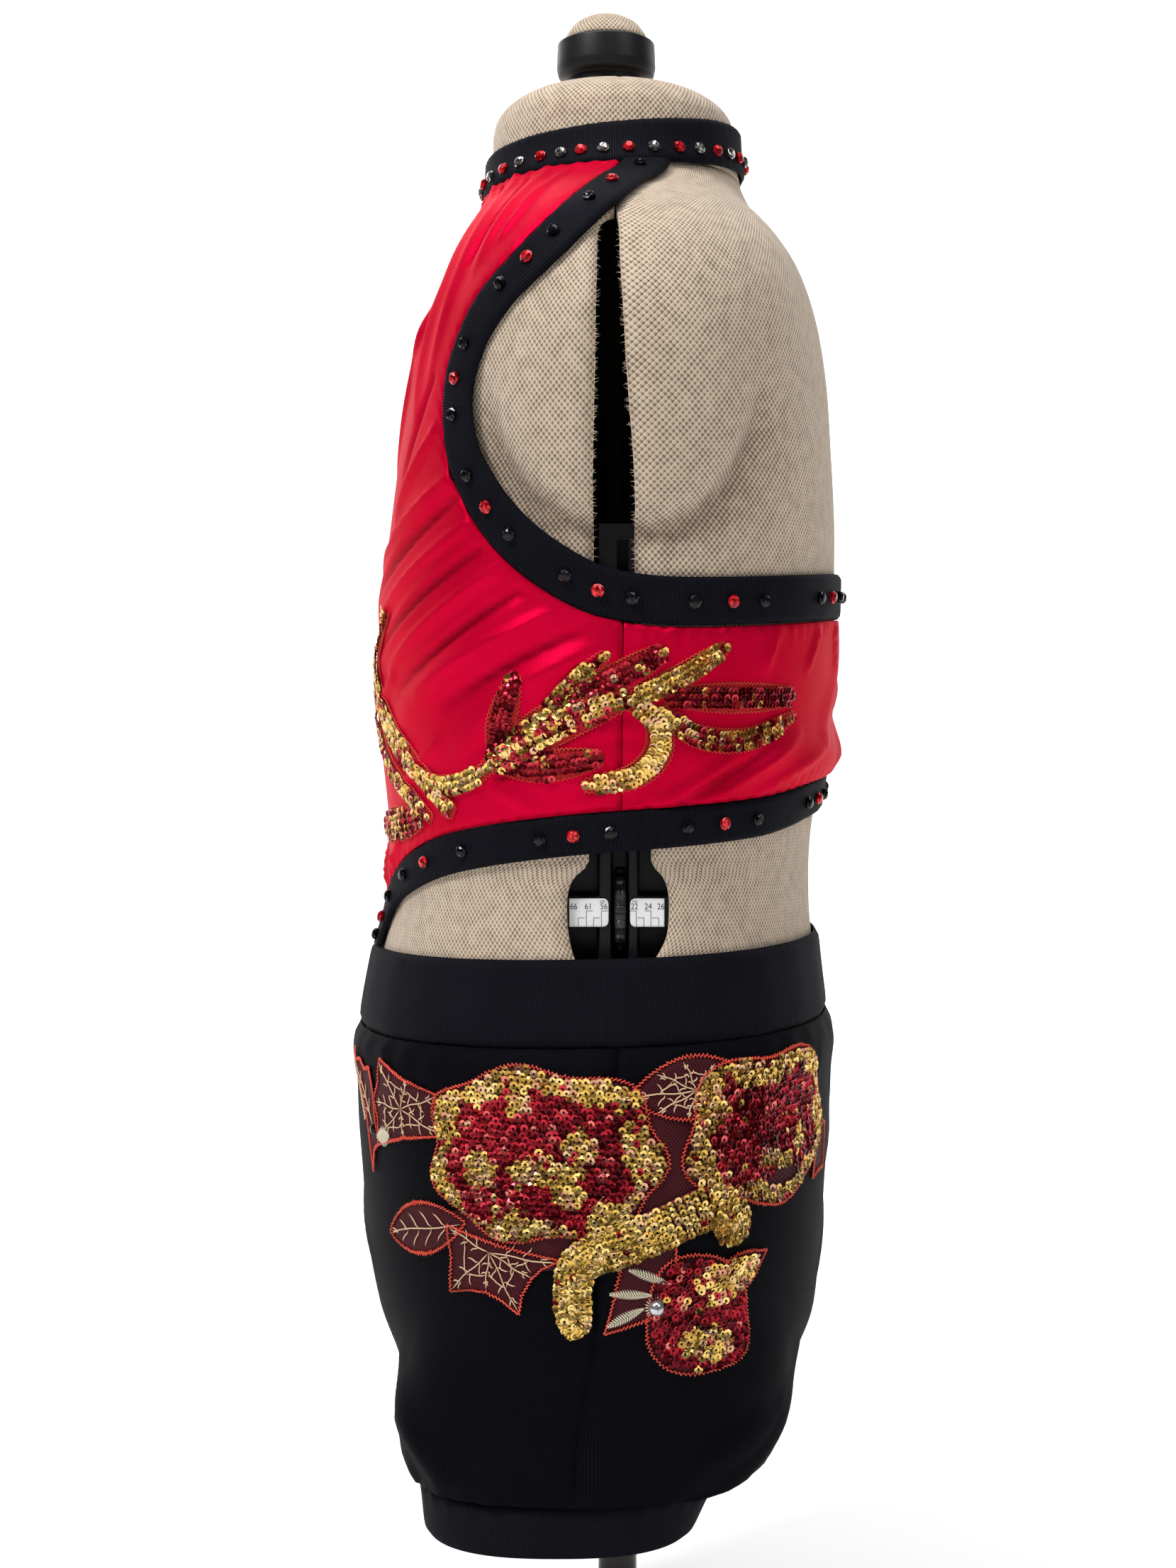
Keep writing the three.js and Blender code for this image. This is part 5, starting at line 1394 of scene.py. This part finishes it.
sequin_finish = Finish("gold and crimson sequins", Metallic=0.88, Specular_IOR_Level=0.6)
tone = sequin_finish.own("tone")
gold = sequin_finish.ramp(
    tone, (0.0, (0.16, 0.085, 0.016)), (0.25, (0.42, 0.25, 0.05)), (0.5, (0.74, 0.46, 0.09)),
    (0.75, (0.96, 0.70, 0.24)), (0.88, (0.66, 0.40, 0.24)), (1.0, (0.50, 0.14, 0.07)))
crimson = sequin_finish.ramp(
    tone, (0.0, (0.045, 0.001, 0.003)), (0.35, (0.17, 0.004, 0.010)), (0.65, (0.38, 0.010, 0.022)),
    (0.88, (0.58, 0.035, 0.055)), (1.0, (0.85, 0.26, 0.20)))
sequin_finish.set(Base_Color=sequin_finish.mixed(sequin_finish.own("crimson"), gold, crimson))
sequin_finish.set(Roughness=sequin_finish.noise(800.0) * 0.2 + 0.14)
sequin, sequin_faces = sequin_shape()
chance = np.random.default_rng(7)


def sew(name, chart, side, spots, tilt=0.11):
    """Spots are rows of place, height, tone, crimson and the direction in which each one leans."""
    a, b, lift, tones, reds, lean_a, lean_b = np.array(spots, float).T
    place = chart(side, a, b, lift)
    n = normals_on(chart, side, a, b)
    ahead = unit(chart(side, a + lean_a, b + lean_b, lift) - place)
    n = unit(n + ahead * 0.16 + chance.normal(0, tilt, n.shape))
    return scatter(name, sequin, sequin_faces, place, n, sequin_finish, "sequins",
                   spin=chance.uniform(0, TAU, len(n)), size=chance.uniform(0.92, 1.06, len(n)),
                   tone=tones, crimson=reds)


# %% Filling an outline with sequins
def shares_of(outline, middle, places):
    """Each place's distance from the middle, as a share of the outline's in that direction."""
    away = places - middle
    edge = outline - middle
    turn, edge_turn = np.arctan2(away[:, 1], away[:, 0]), np.arctan2(edge[:, 1], edge[:, 0])
    order = np.argsort(edge_turn)
    reach = np.interp(turn, edge_turn[order], np.hypot(*edge.T)[order], period=TAU)
    return np.hypot(*away.T) / reach


def lattice(outline, pitch=2.45):
    """Offset rows over the outline's box, with a little chance in every place."""
    low, high = outline.min(0), outline.max(0)
    rows = np.arange(low[1], high[1], pitch * 0.84)
    columns = np.arange(low[0], high[0], pitch)
    grid = np.stack(np.meshgrid(columns, rows, indexing="ij"), -1)
    grid[:, 1::2, 0] += pitch / 2
    return grid.reshape(-1, 2) + chance.normal(0, 0.32, (grid.size // 2, 2))


def inside_any(places, ovals):
    x, z = places.T
    return np.any([((x - mid_x) / a) ** 2 + ((z - mid_z) / b) ** 2 < 1 for mid_x, mid_z, a, b in ovals], 0)


NOWHERE = [(0, 0, 0.1, 0.1)]


def fill(outline, gold_rim, gold_ovals, bare=NOWHERE, front_painted_light=0.0, dome=1.1, reach=0.97):
    middle = outline.mean(0)
    places = lattice(outline)
    share = shares_of(outline, middle, places)
    keep = (share < reach) & ~inside_any(places, bare)
    places, share = places[keep], share[keep]
    turn = np.arctan2(*(places - middle).T)
    wavy = 0.07 * np.sin(turn * 9) + 0.06 * np.sin(turn * 4 + 1)
    is_gold = (share + wavy > gold_rim) | inside_any(places, gold_ovals)
    loose = chance.uniform(0, 1, len(places))
    from_left = soft((middle[0] - places[:, 0]) / 60 + 0.4)
    # Crimson tones rise towards the front of the motif, where the main lamp stands: a painted light on that
    # side.
    tones = np.where(is_gold, 0.12 + 0.85 * loose**1.1, 0.75 * loose + 0.25 * from_left * front_painted_light)
    tones = np.where(chance.uniform(0, 1, len(places)) < 0.05, 0.95, tones)
    swap = chance.uniform(0, 1, len(places)) < 0.05
    lift = 0.75 + dome * (1 - share**2) + 0.55 * chance.uniform(0, 1, len(places))
    lean = (middle - places) / np.maximum(np.hypot(*(middle - places).T)[:, None], 1)
    return np.column_stack([places, lift, tones, np.where(swap, is_gold, ~is_gold), lean])


# ovals of gold: place, height, half width, half height
LARGE_GOLD = [(-53, 258, 13, 6), (-34, 255, 4.5, 8), (-8, 258, 12, 5), (-50, 229, 6.5, 6.5),
              (-25, 230, 14, 5), (-13, 238, 6.5, 5.5), (-17, 222, 6.5, 4.5), (-37, 210, 11, 4),
              (-74, 226, 5, 12), (6, 240, 5, 9), (-1, 213, 10, 6)]
SMALL_GOLD = [(62, 231, 5, 3.2), (71, 230, 6, 3), (80, 237, 3.8, 6), (56, 262, 13, 5), (30, 246, 6, 12),
              (56, 216, 16, 4.5), (100, 246, 4, 13), (83, 219, 12, 4)]
BUD_GOLD = [(39, 188, 9.5, 7.5), (33, 166, 10.5, 7), (47, 190, 6, 5)]
row, way = np.meshgrid(np.arange(-3, 4) / 3.3, np.linspace(0, 1, 56), indexing="ij")
row, way, marks = row.ravel(), way.ravel(), np.linspace(0, 1, len(branch_line))
along_branch = lambda values: np.interp(way, marks, values)
branch_at = np.stack([along_branch(branch_line[:, k]) + row * along_branch(branch_side[:, k])
                      for k in (0, 1)], -1)
for word, side in SIDES:
    flat = branch_at + chance.normal(0, 0.3, branch_at.shape)
    lift = 1.0 + 0.9 * (1 - row**2) + 0.4 * chance.uniform(0, 1, len(row))
    tones = 0.15 + 0.72 * chance.uniform(0, 1, len(row))
    reds = chance.uniform(0, 1, len(row)) < 0.03
    branch_spots = np.column_stack([flat, lift, tones, reds, np.full((len(row), 2), 0.7)])
    sew("hip_sequins_" + word, on_hip, side, np.concatenate([
        fill(HIP_MOTIFS["large_flower"], 0.83, LARGE_GOLD, front_painted_light=1.0),
        fill(HIP_MOTIFS["small_flower"], 0.76, SMALL_GOLD, bare=[(72, 223, 12, 3.5)], front_painted_light=1.0),
        fill(HIP_MOTIFS["bud"], 1.1, BUD_GOLD, reach=0.93),
        fill(HIP_MOTIFS["bud_wing"], 0.0, BUD_GOLD, reach=0.8, dome=0.5),
        branch_spots]))

# %% [markdown]
# ## The leaf spray on the satin
# Its sequins are strung: they overlap in rows that run with each leaf. The rows follow the leaf's
# middle line at equal distances and stop where the leaf gets narrower than the row's place.

# %% Spray
# half width, share of crimson, then the middle line in degrees and height
SPRAY = {
    "strand": (6, 0.2, [(26, 437), (20, 421), (18, 407), (23, 395), (31, 384), (42, 371), (52, 357.5)]),
    "inner": (4.5, 0.45, [(13, 424), (11, 406), (15, 390), (23, 376), (33, 366), (44, 355)]),
    "foot": (6.5, 0.7, [(8, 350), (18, 351), (30, 353), (40, 355.5)]),
    "stem": (3.4, 0.1, [(40, 373), (46, 369), (52, 368.5), (58, 371), (64, 376)]),
    "upright": (5, 0.95, [(64.5, 377), (67, 392), (71, 410)]),
    "lower": (5.4, 0.97, [(64, 377), (76, 376), (88, 379)]),
    "cluster": (7.4, 0.4, [(67, 380), (78, 391), (92, 401)]),
    "tip": (4.8, 0.9, [(82, 400), (91, 409), (99, 418)]),
    "crescent": (4.6, 0.0, [(92, 400), (98, 391), (98, 380), (93, 372), (84, 368.5)]),
    "plume": (4.0, 0.05, [(92, 400), (102, 408), (113, 420)]),
    "upper_wing": (5.0, 0.95, [(99, 401), (117, 401), (135, 402)]),
    "lower_wing": (3.8, 0.3, [(98, 397), (107, 387), (120, 386), (136, 395)]),
    "finger": (3.2, 0.3, [(74, 390), (82, 404), (89, 417)]),
    "join": (3.4, 0.15, [(61, 374), (68, 381), (75, 388)]),
}


def leaf_taper(s):
    return np.sqrt(np.sin(np.pi * mix(0.06, 0.94, s)))


def leaf_length(middle):
    return np.linalg.norm(np.diff(body(*middle(np.linspace(0, 1, 40))), axis=0), axis=1).sum()


def leaf_ground(side, key, low, high):
    half, _, run = SPRAY[key]
    middle = edge_of(np.array(run, float))
    s, w = np.linspace(0, 1, 40)[:, None], np.linspace(-1, 1, 7)[None, :]
    phi, z = across(middle, s, (half + 0.6) * leaf_taper(s) * w)
    return two_skins(on_top(side, phi, z, high), on_top(side, phi, z, low))


def leaf_rows(key):
    half, reds, run = SPRAY[key]
    middle = edge_of(np.array(run, float))
    length = leaf_length(middle)
    s, row = np.meshgrid(np.linspace(0.02, 0.98, int(length / 1.75)), np.arange(-4, 5) * 2.4, indexing="ij")
    keep = np.abs(row) < half * leaf_taper(s) * 0.9
    s, row = s[keep], row[keep]
    phi, z = across(middle, s, row + chance.normal(0, 0.15, len(s)))
    ahead = across(middle, np.minimum(s + 0.03, 1), row)
    loose = chance.uniform(0, 1, len(s))
    is_red = chance.uniform(0, 1, len(s)) < reds
    lift = 0.75 + 0.6 * (1 - (row / half) ** 2) + 0.3 * loose
    return np.column_stack([phi, z, lift, 0.1 + 0.8 * loose, is_red, ahead[0] - phi, ahead[1] - z])


for word, side in SIDES:
    nodes = ["spray_" + key + "_" + word for key in SPRAY if key not in ("finger", "join", "inner")]
    grounds = [leaf_ground(side, key, 0.08, 0.3) for key in SPRAY]
    joined("spray_net_" + word, grounds, red_net, "sequins", *nodes)
    sew("spray_sequins_" + word, on_top, side, np.concatenate([leaf_rows(key) for key in SPRAY]), tilt=0.12)

# %% [markdown]
# ## Threads
# Orange-red zigzag stitches hold down every cut edge, and pale gold lines draw the veins of the
# leaves. A thread is a small ring of points carried along its path on the cloth.

# %% Threads on the charts
def thread_shape(chart, side, path, lift, radius, closed=False, sides=5):
    """Ring points are path + r (cos a * sideways + sin a * normal); thin ends close the tube."""
    path = np.asarray(path, float)
    centre = chart(side, path[:, 0], path[:, 1], lift)
    n = normals_on(chart, side, path[:, 0], path[:, 1])
    run = unit(np.roll(centre, -1, 0) - np.roll(centre, 1, 0) if closed else np.gradient(centre, axis=0))
    sideways = unit(np.cross(run, n))
    angle = np.arange(sides) * TAU / sides
    r = np.full(len(path), radius)
    if not closed:
        r[[0, -1]] = 0.004
    ring = centre[:, None] + r[:, None, None] * (np.cos(angle)[:, None] * sideways[:, None]
                                                 + np.sin(angle)[:, None] * n[:, None])
    grid = ring.transpose(1, 0, 2)
    if closed:
        grid = np.concatenate([grid, grid[:, :1]], 1)
    points = grid.reshape(-1, 3)
    return points, outward(points, grid_faces(sides, grid.shape[1], True))


def zigzag(outline, reach=0.55, pitch=1.5):
    """Points along an outline, pushed out and in by turns."""
    ring = np.concatenate([outline, outline[:1]])
    run = np.concatenate([[0], np.cumsum(np.hypot(*np.diff(ring, axis=0).T))])
    count = 2 * int(run[-1] / pitch)
    at = np.linspace(0, run[-1], count, endpoint=False)
    place = np.stack([np.interp(at, run, ring[:, k]) for k in (0, 1)], -1)
    out = unit(place - outline.mean(0))
    step = reach * np.where(np.arange(count) % 2, 1, -1) + chance.normal(0, 0.15, count)
    return place + out * step[:, None]


def twisted(name, dark, light, **settings):
    """Fine slanting bands, painted lighter and darker, give the look of a twisted thread: a painted light and
    shade of its twist.
    """
    finish = Finish(name, Roughness=0.5, Specular_IOR_Level=0.4, **settings)
    x, y, z = finish.parts(finish.place())
    twist = ((y + z + x) * (TAU / 0.9)).sin() * 0.5 + 0.5
    finish.set(Base_Color=finish.mixed((twist * 0.6 + finish.noise(300.0) * 0.5).held(), dark, light))
    return finish.bumped(twist, 0.3, 0.0002)


edge_thread = twisted("orange-red thread", (0.60, 0.020, 0.016), (0.95, 0.12, 0.06))
vein_thread = twisted("pale gold thread", (0.55, 0.26, 0.14), (0.88, 0.70, 0.45), Metallic=0.2)
ivory_thread = twisted("ivory stitches", (0.50, 0.42, 0.28), (0.80, 0.74, 0.58), Metallic=0.1)


def wavy(start, end, points=9):
    start, end = np.array(start, float), np.array(end, float)
    t = np.linspace(0, 1, points)[:, None]
    across_way = np.array([start[1] - end[1], end[0] - start[0]]) / max(np.hypot(*(end - start)), 1e-6)
    return start + (end - start) * t + across_way * 0.5 * np.sin(t * 7) * np.sin(np.pi * t)


def veins(tip, stalk, half, count):
    """A midrib with side veins that slant towards the tip."""
    stalk, axis, out = axes_of(tip, stalk)
    lines = [wavy(stalk, tip)]
    for k in range(1, count):
        start = stalk + axis * k / count
        width = half * np.sin(np.pi * min(k / count + 0.12, 1)) * 0.85
        lines += [wavy(start, start + axis * 0.13 + out * width * way, 5) for way in (1, -1)]
    return lines


def spokes(middle, ends):
    """A main vein to every lobe, with side veins of its own, and one line that joins them halfway."""
    middle, ends = np.array(middle, float), np.array(ends, float)
    side = [line for end in ends for line in veins(end, middle, 0.22 * np.hypot(*(end - middle)), 4)]
    halfway = mix(middle, ends, 0.6)
    return side + [wavy(a, b, 5) for a, b in zip(halfway, halfway[1:])]


VEIN_LINES = (
    veins((-105, 198), (-60, 208), 8, 6)
    + spokes((29, 258), [
        (6, 256), (14, 264), (24, 268), (36, 267), (50, 261), (40, 252), (26, 248), (14, 250)])
    + spokes((-92, 246), [
        (-106, 262), (-86, 258), (-70, 253), (-69, 240), (-90, 236), (-112, 231), (-114, 246)])
    + spokes((-48, 199), [(-66, 206), (-66, 183), (-50, 185), (-37, 178), (-31, 191), (-21, 197)])
    + veins((-140, 260), (-118, 236), 5, 5)
)


def satin_stitches(tip, stalk, half, count):
    """Stitches across a pointed oval, each arched a little over the one under it."""
    stalk, axis, out = axes_of(tip, stalk)
    lines = []
    for k in np.linspace(0.05, 0.95, count):
        width = half * np.sin(np.pi * k) ** 0.7
        start = stalk + axis * k
        steps = (-1, -0.5, 0, 0.5, 1)
        lines.append(np.array([start + out * width * w + axis * 0.08 * abs(w) for w in steps]))
    return lines


FEATHERS = (
    satin_stitches((5, 195), (21, 189), 2.0, 16) + satin_stitches((-2, 186), (14, 185.5), 2.0, 16)
    + satin_stitches((-3, 174), (11, 181), 2.2, 16) + satin_stitches((-112, 233), (-100, 235), 4.2, 12)
    + satin_stitches((46, 190), (60, 196), 2.0, 12) + satin_stitches((-141, 258), (-127, 236), 1.8, 16)
)
PEARL, JET = (15.0, 181.0), (-116.0, 235.0)
pearl_ring = [np.array([[PEARL[0] + r * np.cos(a), PEARL[1] + r * np.sin(a)] for r in (2.4, 3.5, 4.6)])
              for a in np.linspace(0, TAU, 22, endpoint=False)]

for word, side in SIDES:
    edges = [thread_shape(on_hip, side, zigzag(ring), 0.85, 0.36, True)
             for key, ring in HIP_MOTIFS.items() if key not in ("between", "under")]
    edges += [thread_shape(on_hip, side, zigzag(branch_edge, 0.5), 1.0, 0.2, True)]
    joined("hip_edge_stitches_" + word, edges, edge_thread, "sequins")
    lines = [thread_shape(on_hip, side, line, 0.85, 0.27) for line in VEIN_LINES]
    joined("hip_vein_threads_" + word, lines, vein_thread, "sequins")
    arch = np.array([0.5, 1.1, 1.3, 1.1, 0.5])
    lines = [thread_shape(on_hip, side, line, arch, 0.36) for line in FEATHERS]
    lines += [thread_shape(on_hip, side, line, np.array([1.0, 1.3, 0.7]), 0.3) for line in pearl_ring]
    joined("hip_feathers_" + word, lines, ivory_thread, "sequins")
    top_edges = []
    for key, (half, _, run) in SPRAY.items():
        middle = edge_of(np.array(run, float))
        s = np.linspace(0, 1, 2 * int(leaf_length(middle) / 1.6))
        for way in (1, -1):
            reach = (half + 0.4) * leaf_taper(s) + np.where(np.arange(len(s)) % 2, 0.5, -0.5)
            path = np.stack(across(middle, s, way * reach), -1)
            top_edges.append(thread_shape(on_top, side, path, 0.5, 0.2))
    joined("spray_edge_stitches_" + word, top_edges, edge_thread, "sequins")

# %% Pearl and small stone
def dome_shape(sides=20, rows=9):
    """A sphere's profile from pole to pole, flattened below."""
    turn, angle = np.linspace(0.02, np.pi - 0.02, rows), np.arange(sides) * TAU / sides
    r, h = np.sin(turn), -np.cos(turn)
    points = np.stack([np.stack([r * np.cos(a), r * np.sin(a), np.maximum(h, -0.5)], -1) for a in angle])
    points = points.reshape(-1, 3)
    return points, outward(points, grid_faces(sides, rows, True))


pearl_finish = Finish("silver pearl", Metallic=0.8, Coat_Weight=0.5)
pearl_cloud = pearl_finish.noise(250.0)
pearl_finish.set(Base_Color=pearl_finish.mixed(pearl_cloud, (0.38, 0.39, 0.42), (0.72, 0.72, 0.74)))
pearl_finish.set(Roughness=pearl_cloud * 0.15 + 0.12)
dome_points, dome_faces = dome_shape()


def on_both_hips(place, out):
    """One place of the chart on either hip, with the cloth's normals there."""
    a, b = np.array(place)[:, None]
    places = np.concatenate([on_hip(side, a, b, out) for _, side in SIDES])
    return places, np.concatenate([normals_on(on_hip, side, a, b) for _, side in SIDES])


scatter("hip_pearls", dome_points, dome_faces, *on_both_hips(PEARL, 1.6), pearl_finish, "sequins", size=3.0,
        smooth=True)
scatter("hip_jet_stones", shape, shape_faces, *on_both_hips(JET, 0.7), black_stone, "sequins", size=0.8)

# %% [markdown]
# ## How the cloth was cut
# The sizes printed above with each surface give the width and length of its flat cut, in
# millimetres, and the area of one skin, in square metres. A band shows one half of its folded strip,
# so the strip itself was cut twice as wide.


# %% [markdown]
# ## Camera, light and floor
# The camera stands level with the chest, looking at the wearer's left side. A pale sweep is floor
# and backdrop in one, and large soft panels light it.

# %% Camera
camera_data = bpy.data.cameras.new("camera")
camera = bpy.data.objects.new("camera", camera_data)
bpy.context.scene.collection.objects.link(camera)
camera.location = (0.925, -0.010, 0.416)
camera.rotation_euler = (np.pi / 2, 0, np.pi / 2)
camera_data.sensor_fit, camera_data.sensor_height, camera_data.lens = "VERTICAL", 36, 50.45
camera_data.shift_y = -65 / 2212
bpy.context.scene.camera = camera

# %% Floor and lights
sweep = Finish("pale paper", Roughness=0.9, Specular_IOR_Level=0.1, Emission_Strength=0.75)
height = (sweep.parts(sweep.place())[2] * 1.5).held()
glow = sweep.mixed(height, (0.35, 0.35, 0.35), (1.0, 1.0, 1.0))
paper = sweep.mixed(sweep.noise(2.0), (0.86, 0.86, 0.86), (0.88, 0.88, 0.88))
sweep.set(Emission_Color=glow, Base_Color=paper)
# the floor, a bend with a radius of 1 m, and the wall, in metres of x and height
bend_line = [(-1.0 - np.sin(a), 1 - np.cos(a)) for a in np.linspace(0, np.pi / 2, 25)[1:]]
line = [(4.0, 0.0), (-1.0, 0.0), *bend_line, (-2.0, 4.0)]
sheet_points = np.array([(x, y, z) for x, z in line for y in (-4.0, 4.0)])
backdrop = new_mesh("backdrop", sheet_points * 1000 - (0, 0, DATUM_RISE), grid_faces(len(line), 2))
backdrop.data.materials.append(sweep.material)


def panel_light(name, place, aim, size, power):
    data = bpy.data.lights.new(name, "AREA")
    data.shape, data.size, data.size_y, data.energy = "RECTANGLE", size[0], size[1], power
    light = bpy.data.objects.new(name, data)
    light.location = place
    direction = mathutils.Vector(aim) - mathutils.Vector(place)
    light.rotation_euler = direction.to_track_quat("-Z", "Y").to_euler()
    bpy.context.scene.collection.objects.link(light)


panel_light("front panel", (1.05, -1.15, 2.1), (0, 0, 0.4), (0.5, 0.5), 34)
panel_light("back panel", (1.2, 1.3, 1.9), (0, 0, 0.4), (0.8, 0.8), 9)
panel_light("top panel", (0.3, 0, 2.2), (0, 0, 0.4), (1.2, 1.2), 20)
panel_light("far side panel", (-1.4, -0.6, 1.5), (0, 0, 0.4), (1.0, 1.0), 5)
world = bpy.data.worlds.new("soft room")
world.use_nodes = True
world.node_tree.nodes["Background"].inputs[0].default_value = (1, 1, 1, 1)
world.node_tree.nodes["Background"].inputs[1].default_value = 0.07
bpy.context.scene.world = world
bpy.context.scene.view_settings.view_transform = "Standard"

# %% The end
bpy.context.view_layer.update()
